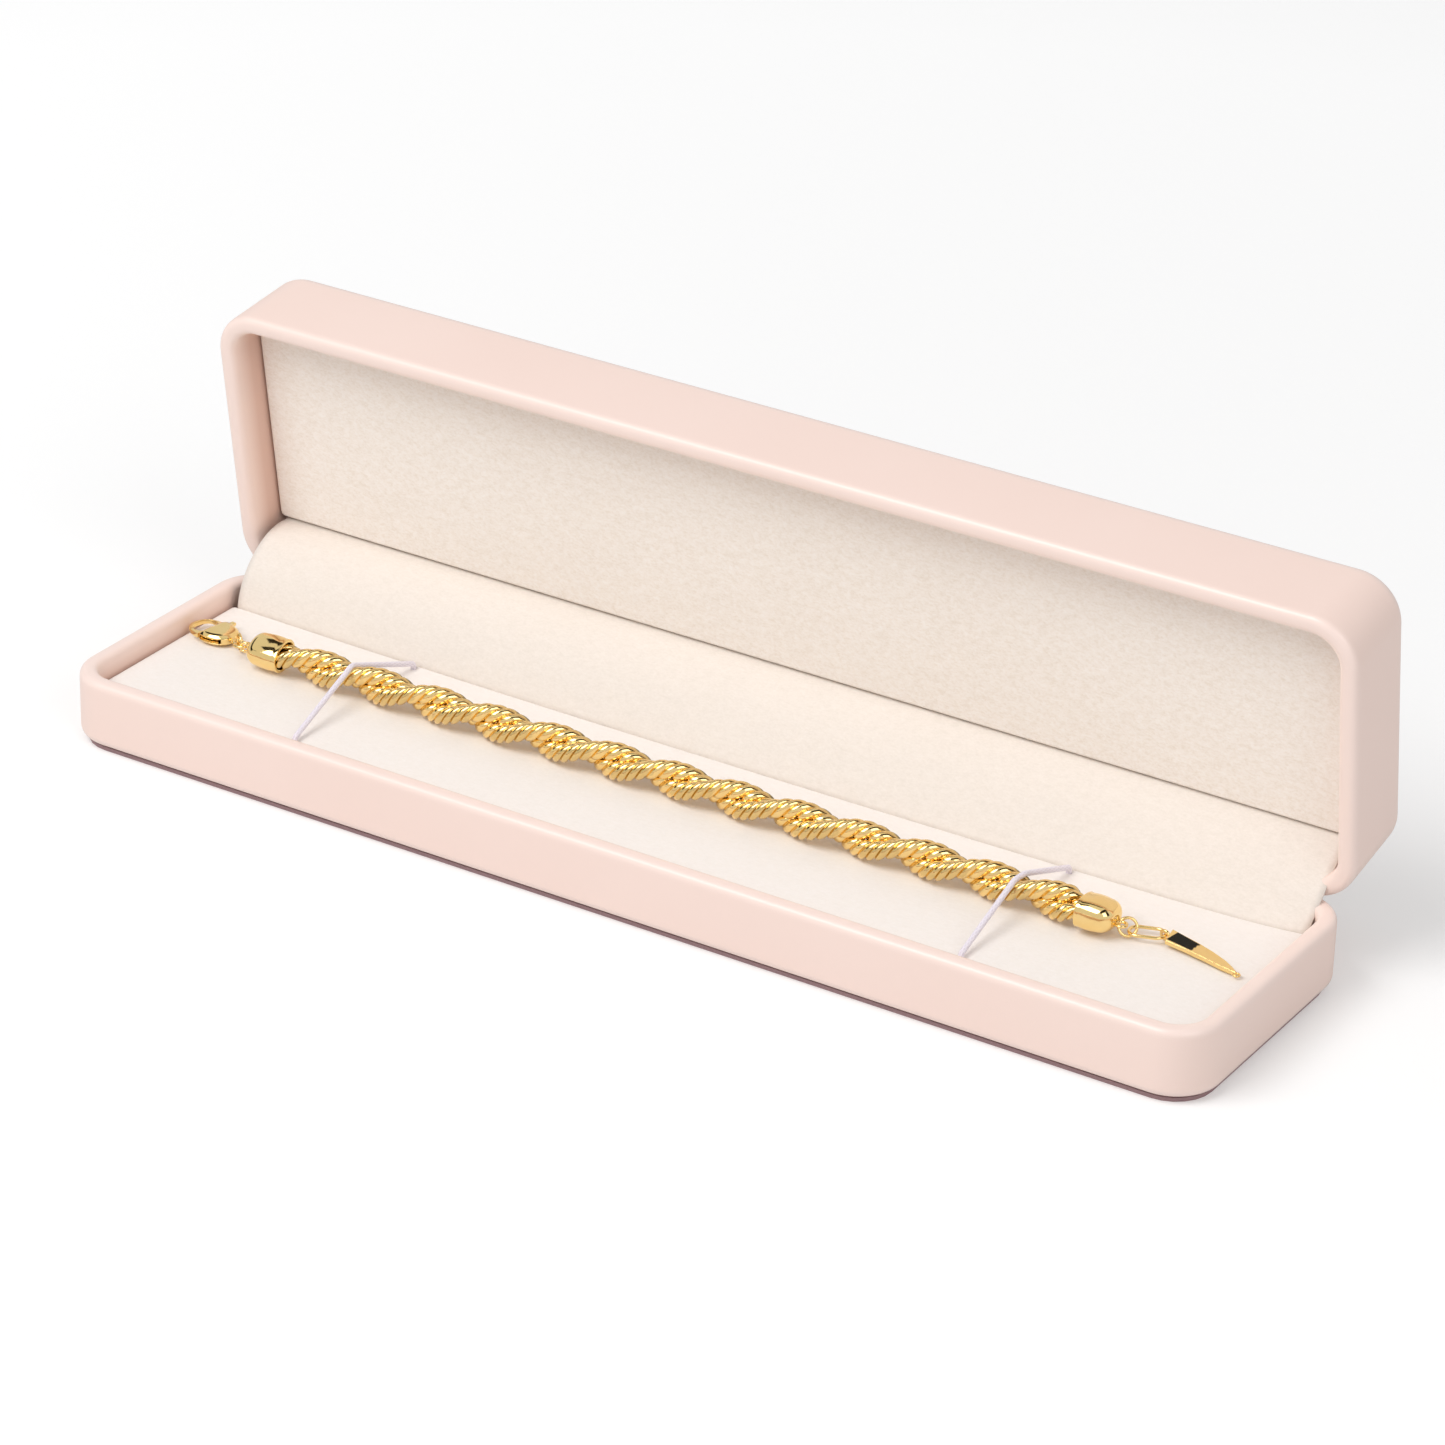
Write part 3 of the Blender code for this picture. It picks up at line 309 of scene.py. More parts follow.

# %% [markdown]
# The bracelet is gold plate over brass, polished but handled. A metal's colour is its
# reflection's tint, so the base colour is all that it needs, with a little roughness that
# comes and goes in faint wipes, and hairline scratches in the bump. Down between the rope's
# ribs the colour is darkened to nearly black as painted shade: the rope's mesh carries how
# deep each point lies, as the attribute depth, and the other pieces, which lack it, read 0.

# %% Metals
GOLD_COLOUR = linear(253, 225, 160)
GOLD_DEEP = linear(247, 213, 140)
# Painted shade: the near-black colour down between the rope's ribs.
GOLD_PAINTED_SHADE = linear(34, 22, 9)
WIPE_SCALE = 350.0
HAIRLINE_SCALE = 6500.0
CREVICE_START = 0.06
CREVICE_STEEPNESS = 4.8
GOLD_ROUGHNESS = 0.05
POLISH_RELIEF = 0.02 * MM
STEEL_DARK = linear(176, 170, 160)
STEEL_LIGHT = linear(204, 200, 192)
STEEL_RELIEF = 0.03 * MM
DRAWN_SCALE = 3800.0
STEEL_CLOUD_SCALE = 220.0


def polished_gold():
    material, nodes, shader, place = new_material("polished_gold", Metallic=1.0)
    wipe = nodes.noise(place, WIPE_SCALE, 3.0)
    scratched = nodes.add("ShaderNodeMapping", None, {"Vector": place, "Scale": (0.12, 1.0, 1.0)})
    hairline = nodes.noise(scratched, HAIRLINE_SCALE, 2.0, 0.7)
    depth = nodes.add("ShaderNodeAttribute", {"attribute_name": "depth"}, output=2)
    # Painted shade: the crevices darken with depth, and are also rougher.
    painted_crevice_shade = ((depth - CREVICE_START) * CREVICE_STEEPNESS).clamped()
    colour = nodes.mix(wipe, GOLD_DEEP, GOLD_COLOUR)
    colour = nodes.mix(painted_crevice_shade, colour, GOLD_PAINTED_SHADE)
    roughness = GOLD_ROUGHNESS + wipe * 0.06 + hairline * 0.02 + painted_crevice_shade * 0.2
    feed(nodes, shader, Base_Color=colour, Roughness=roughness,
         Normal=bump(nodes, hairline, 0.04, POLISH_RELIEF))
    return material


def spring_steel():
    material, nodes, shader, place = new_material("spring_steel", Metallic=1.0)
    drawn = nodes.add("ShaderNodeMapping", None, {"Vector": place, "Scale": (0.08, 1.0, 1.0)})
    lines = nodes.noise(drawn, DRAWN_SCALE, 3.0)
    cloud = nodes.noise(place, STEEL_CLOUD_SCALE)
    colour = nodes.mix(cloud, STEEL_DARK, STEEL_LIGHT)
    feed(nodes, shader, Base_Color=colour, Roughness=0.24 + lines * 0.2,
         Normal=bump(nodes, lines, 0.12, STEEL_RELIEF))
    return material


GOLD = polished_gold()
STEEL = spring_steel()
print("materials:", GOLD.name, STEEL.name)

# %% [markdown]
# The hidden layers have their own plain finishes: a grey moulded core, greyboard under the
# pads, and the mauve paper that the case stands on. They show only at the hinges' slots, the
# lower edge and when the box is turned over, but each still has its grain. Along the lower edge
# the paper's dark mauve also paints the contact shadow where the case meets the floor.

# %% Core, board and paper
CLOUD_TO_GRAIN = 30.0


def grained(name, low, high, scale, roughness, relief):
    """A plain finish between two colours, whose grain is about 1 / scale metres across."""
    material, nodes, shader, place = new_material(name, Specular_IOR_Level=0.3)
    grain = nodes.noise(place, scale, 4.0, 0.6)
    cloud = nodes.noise(place, scale / CLOUD_TO_GRAIN)
    colour = nodes.mix(grain * 0.6 + cloud * 0.4, low, high)
    feed(nodes, shader, Base_Color=colour, Roughness=roughness + (grain - 0.5) * 0.12,
         Normal=bump(nodes, grain, 0.3, relief))
    return material


CORE = grained("moulded_core", linear(196, 192, 187), linear(208, 205, 200), 900.0, 0.5, 0.04 * MM)
BOARD = grained("greyboard", linear(160, 150, 138), linear(182, 173, 160), 1500.0, 0.9, 0.1 * MM)
# Painted shadow: the paper's dark mauve, seen along the lower edge, stands for the contact shadow.
PAPER_AND_EDGE_SHADOW = grained("mauve_paper", linear(150, 122, 124), linear(170, 140, 142), 1800.0, 0.85, 0.06 * MM)
print("materials:", CORE.name, BOARD.name, PAPER_AND_EDGE_SHADOW.name)

# %% [markdown]
# The elastic cord is a rubber core in a braid of white yarn. The braid follows the cord, so
# its pattern reads the cord's own UV map: U goes round the cord and V along it. Two sets of
# slanted ridges cross, and each goes over and under the other. The valleys between them are
# coloured darker than the ridges, as painted shade.

# %% Elastic braid
BRAID_TURNS = 6.0
BRAID_PER_METRE = 1400.0
# Painted shade: the braid's valleys are coloured darker than its ridges.
BRAID_VALLEY = linear(228, 220, 231)
BRAID_RIDGE = linear(240, 234, 243)
BRAID_RELIEF = 0.05 * MM


def white_elastic():
    material, nodes, shader, _ = new_material(
        "white_elastic", Sheen_Weight=0.2, Roughness=0.8, Specular_IOR_Level=0.3
    )
    uv = nodes.add("ShaderNodeUVMap", {"uv_map": "along"})
    parts = nodes.add("ShaderNodeSeparateXYZ", None, [uv])
    around = parts * (2 * math.pi * BRAID_TURNS)
    along = parts.output(1) * (math.pi * BRAID_PER_METRE)
    over = (around + along).math("SINE")
    under = (around - along).math("SINE")
    ridge = over.math("MAXIMUM", under)
    # Painted shade in the valleys, by the ridge height.
    shade = nodes.ramp(ridge, (0.0, BRAID_VALLEY), (0.8, BRAID_RIDGE))
    feed(nodes, shader, Base_Color=shade, Normal=bump(nodes, ridge, 0.25, BRAID_RELIEF))
    return material


ELASTIC = white_elastic()
print("material:", ELASTIC.name)

# %% [markdown]
# The case is two shallow trays. Their sizes repeat the model's own, so that each fine shell
# lies where its plain solid does. The lid's sections are worked out shut, where they are
# simple, and turned open about the hinge afterwards.

# %% Case sizes
CASE_LENGTH = 225.0 * MM
CASE_DEPTH = 54.5 * MM
BASE_TOP = 13.5 * MM
LID_RIM = 13.8 * MM
LID_TOP = 33.0 * MM
CORNER_RADIUS = 8.6 * MM
BASE_EDGE_RADIUS = 1.8 * MM
LID_EDGE_RADIUS = 3.4 * MM
LID_DRAFT = 0.4 * MM
RIM_THICKNESS = 3.4 * MM
RIM_SQUARENESS = 0.72
RIM_STEPS = 14
CLEARANCE = 0.3 * MM
SKIN_THICKNESS = 0.5 * MM
SKIN_TUCK = 2.6 * MM
SKIN_FOOT = 1.0 * MM
INSIDE_FADE = 3.2 * MM
HEM_WIDTH = 5.0 * MM
HINGE_Y = 26.25 * MM
HINGE_Z = 13.65 * MM
OPEN_ANGLE = math.radians(81.4)
BASE_PAD_TOP = 9.8 * MM
BASE_PAD_FOOT = 5.2 * MM
BASE_PAD_REAR = 17.85 * MM
LID_PAD_FACE = 21.1 * MM
LID_PAD_BACK = 28.6 * MM
LID_PAD_REAR = 18.85 * MM
CORNER_STEPS = 18
ARC_STEPS = 10

OPENING = (
    Matrix.Translation((0, HINGE_Y, HINGE_Z)) @ Matrix.Rotation(-OPEN_ANGLE, 4, "X")
    @ Matrix.Translation((0, -HINGE_Y, -HINGE_Z))
)
print("shut, the case is", [round(size / MM, 1) for size in (CASE_LENGTH, CASE_DEPTH, LID_TOP)], "mm")

# %% [markdown]
# Most pieces here are lofts: rings of points along a section, with faces between each ring and
# the next. A bmesh is quick at that. These helpers draw the rings, bridge them, make an object
# of the result, cut and merge objects, and hand a finished piece to the frame.

# %% Mesh helpers
def arc(centre, radius, start, end, steps=ARC_STEPS):
    """Points of a circular arc, angles in degrees, both ends included."""
    points = []
    for step in range(steps + 1):
        angle = math.radians(start + (end - start) * step / steps)
        points.append((centre[0] + radius * math.cos(angle), centre[1] + radius * math.sin(angle)))
    return points


def plan_outline(half_length, front, rear, front_radius, rear_radius, inset):
    """A rounded rectangle drawn in by inset, anticlockwise from above."""
    points = []
    for side, edge, radius, start in (
        (1, rear, rear_radius, 0), (-1, rear, rear_radius, 90),
        (-1, front, front_radius, 180), (1, front, front_radius, 270),
    ):
        inward = -1 if edge > front else 1
        corner = max(radius - inset, CLEARANCE)
        centre = (side * (half_length - inset - corner), edge + inward * (inset + corner))
        points += arc(centre, corner, start, start + 90, CORNER_STEPS)
    return points


CASE_PLAN = (CASE_LENGTH / 2, -CASE_DEPTH / 2, CASE_DEPTH / 2, CORNER_RADIUS, CORNER_RADIUS)


def piece_from(name, shape, material, smooth_degrees=40.0):
    """A finished mesh from a bmesh: shaded smooth, with its sharp edges kept."""
    bmesh.ops.recalc_face_normals(shape, faces=shape.faces)
    mesh = bpy.data.meshes.new(name)
    shape.to_mesh(mesh)
    shape.free()
    mesh.shade_smooth()
    mesh.set_sharp_from_angle(angle=math.radians(smooth_degrees))
    piece = bpy.data.objects.new(name, mesh)
    bpy.context.scene.collection.objects.link(piece)
    mesh.materials.append(material)
    return piece


def bridge(shape, rings, covered=True):
    """Faces between each ring of points and the next. Covered, the two ends get a face too."""
    for low, high in zip(rings, rings[1:]):
        for i in range(len(low)):
            shape.faces.new((low[i - 1], low[i], high[i], high[i - 1]))
    if covered:
        shape.faces.new(rings[0][::-1])
        shape.faces.new(rings[-1])


def dress(mesh, material):
    """Puts a material in a mesh's only slot."""
    mesh.materials.clear()
    mesh.materials.append(material)


def settled(piece):
    """Replaces live modifiers by the mesh that they make."""
    bpy.context.view_layer.update()
    evaluated = piece.evaluated_get(bpy.context.evaluated_depsgraph_get())
    mesh = bpy.data.meshes.new_from_object(evaluated)
    piece.modifiers.clear()
    piece.data = mesh
    return piece


def joined_on(piece, body, slot, *nodes):
    """Sets a piece on its body, in the place of these nodes. The slot argument is not used."""
    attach(piece, body)
    if nodes:
        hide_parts(*nodes)
    print(piece.name, len(piece.data.polygons), "faces on", body)
    return piece


def combined(piece, operation, others):
    """A Boolean of a piece with other objects, which are removed."""
    for other in others:
        step = piece.modifiers.new("combine", "BOOLEAN")
        step.operation = operation
        step.object = other
    settled(piece)
    for other in others:
        bpy.data.objects.remove(other, do_unlink=True)
    return piece


def cut(piece, *cutters):
    return combined(piece, "DIFFERENCE", cutters)


def merged_with(piece, *others):
    return combined(piece, "UNION", others)


def block(low, high):
    shape = bmesh.new()
    bmesh.ops.create_cube(shape, size=1)
    size = [b - a for a, b in zip(low, high)]
    bmesh.ops.scale(shape, vec=size, verts=shape.verts)
    bmesh.ops.translate(shape, vec=[(a + b) / 2 for a, b in zip(low, high)], verts=shape.verts)
    return piece_from("cutter", shape, LEATHER)


print("mesh helpers ready")

# %% [markdown]
# Each tray's skin is one sheet of leatherette, glued over the core, folded over the rim and
# down the inner wall. The shape is a loft: the same rounded plan, drawn in and raised row by
# row along the fold's section. Rows are close together on the bends and far apart between.
# The base's skin ends in a hem under the paper sheet. The lid's covers its whole top.

# %% Leatherette shells
def skin_rows(height, foot, edge_radius, tuck_height, draft):
    """Rows of (inset, height, value) round a folded skin: its outer face and back inside it. The
    value is wear on the rim and the lower edge, up to 1, and -1 down the inner wall, where it paints
    shade.
    """
    rim = RIM_THICKNESS / 2
    outer = [(HEM_WIDTH, foot, 0, 1, 0.0)]
    for step in range(ARC_STEPS + 1):
        angle = math.pi / 2 * step / ARC_STEPS
        across, up = math.sin(angle), math.cos(angle)
        inset = draft + edge_radius * (1 - across)
        outer.append((inset, foot + edge_radius * (1 - up), across, up, math.sin(2 * angle)))
    for step in range(2 * RIM_STEPS + 1):
        angle = math.pi / 2 * step / RIM_STEPS
        across, up = math.cos(angle), math.sin(angle)
        flat = math.copysign(abs(across) ** RIM_SQUARENESS, across)
        top = up ** RIM_SQUARENESS
        outer.append((rim * (1 - flat), height - rim * (1 - top), across, -up, top))
    # The inner wall's rows carry -1, which the leatherette turns into painted shade.
    outer.append((RIM_THICKNESS, height - rim - INSIDE_FADE, -1, 0, -1.0))
    outer.append((RIM_THICKNESS, tuck_height, -1, 0, -1.0))
    inner = [
        (inset + across * SKIN_THICKNESS, z + up * SKIN_THICKNESS, across, up, 0.0)
        for inset, z, across, up, _ in outer
    ]
    return [(inset, z, wear) for inset, z, _, _, wear in outer + inner[::-1]]


def loft(name, plan, rows, material, covered=False):
    """A surface through rows of (inset, height, value), closed on itself or covered at both ends. The
    value is stored per point: wear where positive, painted shade where negative.
    """
    shape = bmesh.new()
    wear_and_shade_layer = shape.verts.layers.float.new("wear")
    rings = []
    for inset, height, wear in rows:
        ring = [shape.verts.new((x, y, height)) for x, y in plan_outline(*plan, inset)]
        for vert in ring:
            vert[wear_and_shade_layer] = wear
        rings.append(ring)
    bridge(shape, rings if covered else rings + rings[:1], covered)
    return piece_from(name, shape, material)


HINGE_X = 70.0 * MM
NOTCH_HALF = 12.9 * MM
NOTCH_FRONT = 22.75 * MM
NOTCH_LOW = 11.1 * MM
NOTCH_HIGH = 16.2 * MM
OVERRUN = 2.0 * MM


def hinge_slots(low, high):
    """Blocks that cut the rear wall open where the two hinges swing."""
    rear = CASE_DEPTH / 2 + OVERRUN
    return [
        block((x - NOTCH_HALF, NOTCH_FRONT, low), (x + NOTCH_HALF, rear, high))
        for x in (-HINGE_X, HINGE_X)
    ]


def leatherette_base():
    rows = skin_rows(BASE_TOP, SKIN_FOOT, BASE_EDGE_RADIUS, BASE_PAD_TOP - SKIN_TUCK, 0)
    shell = loft("leatherette_base", CASE_PLAN, rows, LEATHER)
    cut(shell, *hinge_slots(NOTCH_LOW, BASE_TOP + OVERRUN))
    return joined_on(shell, "base", "leatherette", "base_skin")


def leatherette_lid():
    total = LID_RIM + LID_TOP
    tuck = total - LID_PAD_FACE - SKIN_TUCK
    rows = skin_rows(LID_TOP, LID_RIM, LID_EDGE_RADIUS, tuck, LID_DRAFT)
    turned_over = [(inset, total - z, wear) for inset, z, wear in rows][::-1]
    shell = loft("leatherette_lid", CASE_PLAN, turned_over, LEATHER, covered=True)
    cut(shell, *hinge_slots(LID_RIM - OVERRUN, NOTCH_HIGH))
    shell.data.transform(OPENING)
    return joined_on(shell, "lid", "leatherette", "lid_skin")


leatherette_base()
leatherette_lid()

# %% [markdown]
# A pad is foam on a board with velvet stretched over it. Its sides are straight, its edge
# rolls over, and its face crowns a little. Cloth simulation would swell it too much, so the
# face is a triangulated sheet whose height is worked out point by point, which also lets the
# slits for the elastic cords be real holes with a dimple pulled in round each. The base pad's
# rear edge isn't straight: it follows the crease where the flap is tucked in behind it, which
# falls back towards the tag's end.

# %% Pad sizes
PAD_WALL = RIM_THICKNESS + CLEARANCE
PAD_CORNER = CORNER_RADIUS - PAD_WALL
PAD_REAR_CORNER = 1.2 * MM
PAD_ROLL = 0.9 * MM
PAD_CROWN = 0.12 * MM
PAD_GRID = 2.2 * MM
PAD_REAR_STEPS = 60
CROWN_POWERS = (16, 4)
SLIT_HALF_LENGTH = 0.6 * MM
SLIT_HALF_WIDTH = 0.5 * MM
SLIT_SINK = 0.25 * MM
SLIT_REACH = 1.2 * MM
SLIT_SIDES = 20
SLIT_GROWTHS = (1.35, 1.8, 2.4, 3.2)
SLIT_CLEAR_GROWTH = 3.6
SAME_POINT = 1e-7
SLIT_SETBACK = 1.1 * MM
FRONT_SLIT_Y = -19.5 * MM
CORD_LEFT_X = -67.3 * MM
CORD_RIGHT_X = 65.3 * MM
CREASE_HALF_WIDTH = 107.6 * MM
CREASE_NEAREST = 16.65 * MM
CREASE_TURN_SHARE = -0.2
CREASE_BEND_LEFT = 1.8 * MM
CREASE_BEND_RIGHT = 1.15 * MM
CREASE_CORNER = 1.6 * MM
CREASE_CORNER_POWER = 12
PAD_BEHIND_CREASE = 0.35 * MM


def pad_plan(rear):
    return (CASE_LENGTH / 2 - PAD_WALL, PAD_WALL - CASE_DEPTH / 2, rear, PAD_CORNER, PAD_REAR_CORNER)


def crease(x):
    """How far back the flap's crease lies on the base pad."""
    share = max(-1.0, min(1.0, x / CREASE_HALF_WIDTH))
    bend = CREASE_BEND_LEFT if share < CREASE_TURN_SHARE else CREASE_BEND_RIGHT
    corner = CREASE_CORNER * max(0.0, share) ** CREASE_CORNER_POWER
    return CREASE_NEAREST + bend * (share - CREASE_TURN_SHARE) ** 2 + corner


def rear_slit(x):
    return crease(x) - SLIT_SETBACK


print("the crease runs from", round(crease(-CREASE_HALF_WIDTH) / MM, 1), "to",
      round(crease(CREASE_HALF_WIDTH) / MM, 1), "mm back")

# %% Pads
def slit_loop(place, growth=1.0):
    points = []
    for step in range(SLIT_SIDES):
        angle = 2 * math.pi * step / SLIT_SIDES
        x = place[0] + growth * SLIT_HALF_LENGTH * math.cos(angle)
        points.append((x, place[1] + growth * SLIT_HALF_WIDTH * math.sin(angle)))
    return points


def in_slit(x, y, slits, growth=1.0):
    return any(
        math.hypot((x - a) / SLIT_HALF_LENGTH, (y - b) / SLIT_HALF_WIDTH) < growth for a, b in slits
    )


def face_height(x, y, plan, slits):
    """How far the pad's face stands out from its rolled edge at a place."""
    half_length, front, rear = plan[:3]
    middle, half_depth = (front + rear) / 2, (rear - front) / 2
    along = min(1.0, abs(x) / (half_length - PAD_ROLL))
    across = min(1.0, abs(y - middle) / (half_depth - PAD_ROLL))
    height = PAD_CROWN * (1 - along ** CROWN_POWERS[0]) * (1 - across ** CROWN_POWERS[1])
    for a, b in slits:
        height -= SLIT_SINK * math.exp(-((x - a) ** 2 + (y - b) ** 2) / SLIT_REACH ** 2)
    return height


def pad_outline(plan, inset, bent):
    """The pad's outline from above, whose rear edge is straight or bent along the crease."""
    points = plan_outline(*plan, inset)
    if not bent:
        return points
    rear = plan[2]
    right, left = points[CORNER_STEPS], points[CORNER_STEPS + 1]
    points[CORNER_STEPS + 1:CORNER_STEPS + 1] = [
        (right[0] + (left[0] - right[0]) * step / PAD_REAR_STEPS, right[1])
        for step in range(1, PAD_REAR_STEPS)
    ]
    return [(x, y + crease(x) + PAD_BEHIND_CREASE - rear if y > 0 else y) for x, y in points]


def sheet_with_holes(outline, slits, spacing, bent):
    """Points and triangles that fill an outline, finer round each slit, whose hole stays open."""
    points = [Vector(p) for p in outline]
    edges = [(i, (i + 1) % len(points)) for i in range(len(points))]
    for slit in slits:
        start = len(points)
        points += [Vector(p) for p in slit_loop(slit)]
        edges += [(start + i, start + (i + 1) % SLIT_SIDES) for i in range(SLIT_SIDES)]
    for slit in slits:
        for growth in SLIT_GROWTHS:
            loop = slit_loop(slit, growth)
            points += [Vector((x, y)) for x, y in loop if y < crease(x) - PAD_ROLL]
    low_x, high_x = min(p[0] for p in outline), max(p[0] for p in outline)
    low_y, high_y = min(p[1] for p in outline), max(p[1] for p in outline)
    columns, rows = round((high_x - low_x) / spacing), round((high_y - low_y) / spacing)
    for i in range(1, columns):
        for j in range(1, rows):
            x = low_x + (high_x - low_x) * i / columns
            y = low_y + (high_y - low_y) * j / rows
            near_corner = abs(x) > high_x - PAD_CORNER and y < low_y + PAD_CORNER
            past_edge = bent and y > crease(x) - PAD_ROLL
            near_slit = in_slit(x, y, slits, SLIT_CLEAR_GROWTH)
            if not near_corner and not past_edge and not near_slit:
                points.append(Vector((x, y)))
    places, _, faces, *_ = geometry.delaunay_2d_cdt(points, edges, [], 1, SAME_POINT)
    triangles = []
    for face in faces:
        middle = sum((places[i] for i in face), Vector((0, 0))) / len(face)
        if not in_slit(middle.x, middle.y, slits):
            triangles.append(face)
    return places, triangles


def velvet_pad(name, plan, foot, face, material, slits=(), bent=False):
    """A pad between two heights: its face may look up or down. Slits run right through it."""
    up = 1 if face > foot else -1
    inner = pad_outline(plan, PAD_ROLL, bent)
    flat, triangles = sheet_with_holes(inner, slits, PAD_GRID, bent)
    shape = bmesh.new()
    top = [
        shape.verts.new((x, y, face + up * face_height(x, y, plan, slits))) for x, y in flat
    ]
    bottom = [shape.verts.new((x, y, foot)) for x, y in flat]
    for face_indices in triangles:
        shape.faces.new([top[i] for i in face_indices])
        shape.faces.new([bottom[i] for i in face_indices][::-1])
    rings = [[top[i] for i in range(len(inner))]]
    for step in range(1, ARC_STEPS + 1):
        angle = math.pi / 2 * step / ARC_STEPS
        inset = PAD_ROLL * (1 - math.sin(angle))
        height = face - up * PAD_ROLL * (1 - math.cos(angle))
        rings.append([shape.verts.new((x, y, height)) for x, y in pad_outline(plan, inset, bent)])
    rings.append([shape.verts.new((x, y, foot)) for x, y in pad_outline(plan, 0, bent)])
    rings.append([bottom[i] for i in range(len(inner))])
    bridge(shape, rings, covered=False)
    for number in range(len(slits)):
        start = len(inner) + number * SLIT_SIDES
        for i in range(SLIT_SIDES):
            a, b = start + i, start + (i + 1) % SLIT_SIDES
            shape.faces.new((top[a], top[b], bottom[b], bottom[a]))
    return piece_from(name, shape, material, smooth_degrees=60.0)


SLITS = [(x, y) for x in (CORD_LEFT_X, CORD_RIGHT_X) for y in (FRONT_SLIT_Y, rear_slit(x))]


def pads():
    plan = pad_plan(BASE_PAD_REAR)
    heights = (BASE_PAD_FOOT, BASE_PAD_TOP)
    base = velvet_pad("velvet_base_pad", plan, *heights, VELVET_PAD, SLITS, bent=True)
    joined_on(base, "base", "velvet", "base_pad")
    heights = (LID_PAD_BACK, LID_PAD_FACE)
    lid = velvet_pad("velvet_lid_pad", pad_plan(LID_PAD_REAR), *heights, VELVET_LID)
    lid.data.transform(OPENING)
    joined_on(lid, "lid", "velvet", "lid_pad")


pads()

# %% [markdown]
# The flap is a velvet strip that hides both hinges. It is tucked in a channel behind each pad
# and crosses the gap between them: it bellies forward at the clasp's end and is drawn straight
# at the other. Each cross-section is a Bezier curve whose swell changes along the case.

# %% Velvet flap
FLAP_HALF_WIDTH = 107.6 * MM
FLAP_CHANNEL_WIDTH = 0.6 * MM
FLAP_THICKNESS = 0.5 * MM
FLAP_TAIL = 4.4 * MM
FLAP_LID_Y = LID_PAD_REAR + CLEARANCE + FLAP_CHANNEL_WIDTH / 2
FLAP_COLUMNS = 150
FLAP_ROWS = 26
FLAP_WAVE = 0.08 * MM
FLAP_WAVES_PER_METRE = 45
SWELL_LEFT = 4.75 * MM
SWELL_RIGHT = 0.3 * MM
SWELL_FADE_POWER = 0.8
CONTROL_SHARES = (0.28, 0.75)
TAIL_BEND_SHARE = 0.4
FOOT_BEHIND_CREASE = 0.3 * MM
TUCK_BEHIND_CREASE = 0.68 * MM
TUCK_DEPTH = 0.8 * MM


def opened(y, z):
    """A point of the shut lid's cross-section, carried to the open lid."""
    place = OPENING @ Vector((0, y, z))
    return Vector((place.y, place.z))


def flap_section(x):
    """The strip's points (y, z) at a place along the case, from its tail to its lid end."""
    share = (x + FLAP_HALF_WIDTH) / (2 * FLAP_HALF_WIDTH)
    swell = SWELL_RIGHT + (SWELL_LEFT - SWELL_RIGHT) * (1 - share ** SWELL_FADE_POWER)
    tucked = crease(x) + TUCK_BEHIND_CREASE
    depths = (FLAP_TAIL, 2 * TUCK_DEPTH, TUCK_DEPTH)
    tail = [Vector((tucked, BASE_PAD_TOP - depth)) for depth in depths]
    foot = Vector((crease(x) + FOOT_BEHIND_CREASE, BASE_PAD_TOP))
    end = opened(FLAP_LID_Y, LID_PAD_FACE)
    span = end - foot
    forward = Vector((-span.y, span.x)).normalized() * swell
    first, second = (foot + span * share_along + forward for share_along in CONTROL_SHARES)
    points = []
    for step in range(FLAP_ROWS + 1):
        t = step / FLAP_ROWS
        points.append(
            foot * (1 - t) ** 3 + first * 3 * t * (1 - t) ** 2
            + second * 3 * t ** 2 * (1 - t) + end * t ** 3
        )
    tail_end = opened(FLAP_LID_Y, LID_PAD_FACE + FLAP_TAIL)
    return [*tail, *points, end.lerp(tail_end, TAIL_BEND_SHARE), tail_end]


def velvet_flap():
    shape = bmesh.new()
    columns = []
    for column in range(FLAP_COLUMNS + 1):
        x = FLAP_HALF_WIDTH * (2 * column / FLAP_COLUMNS - 1)
        wave = FLAP_WAVE * noise.noise((x * FLAP_WAVES_PER_METRE, 0, 0))
        columns.append([shape.verts.new((x, y + wave, z)) for y, z in flap_section(x)])
    for left, right in zip(columns, columns[1:]):
        for i in range(len(left) - 1):
            shape.faces.new((left[i], left[i + 1], right[i + 1], right[i]))
    flap = piece_from("velvet_flap", shape, VELVET_FLAP, smooth_degrees=80.0)
    thick = flap.modifiers.new("thickness", "SOLIDIFY")
    thick.thickness = FLAP_THICKNESS
    thick.offset = 0
    settled(flap)
    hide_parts("hinge_flap")
    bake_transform(flap)
    print("velvet_flap", len(flap.data.polygons), "faces")


velvet_flap()

# %% [markdown]
# Cords, rings and links are all round wires along a path. A curve with a bevel makes them
# quickly. Here the tube is swept by hand instead, because each needs a UV map that runs along
# it, and because a closed ring then has no seam.

# %% Swept wires
WIRE_SIDES = 16
CIRCLE_STEPS = 48


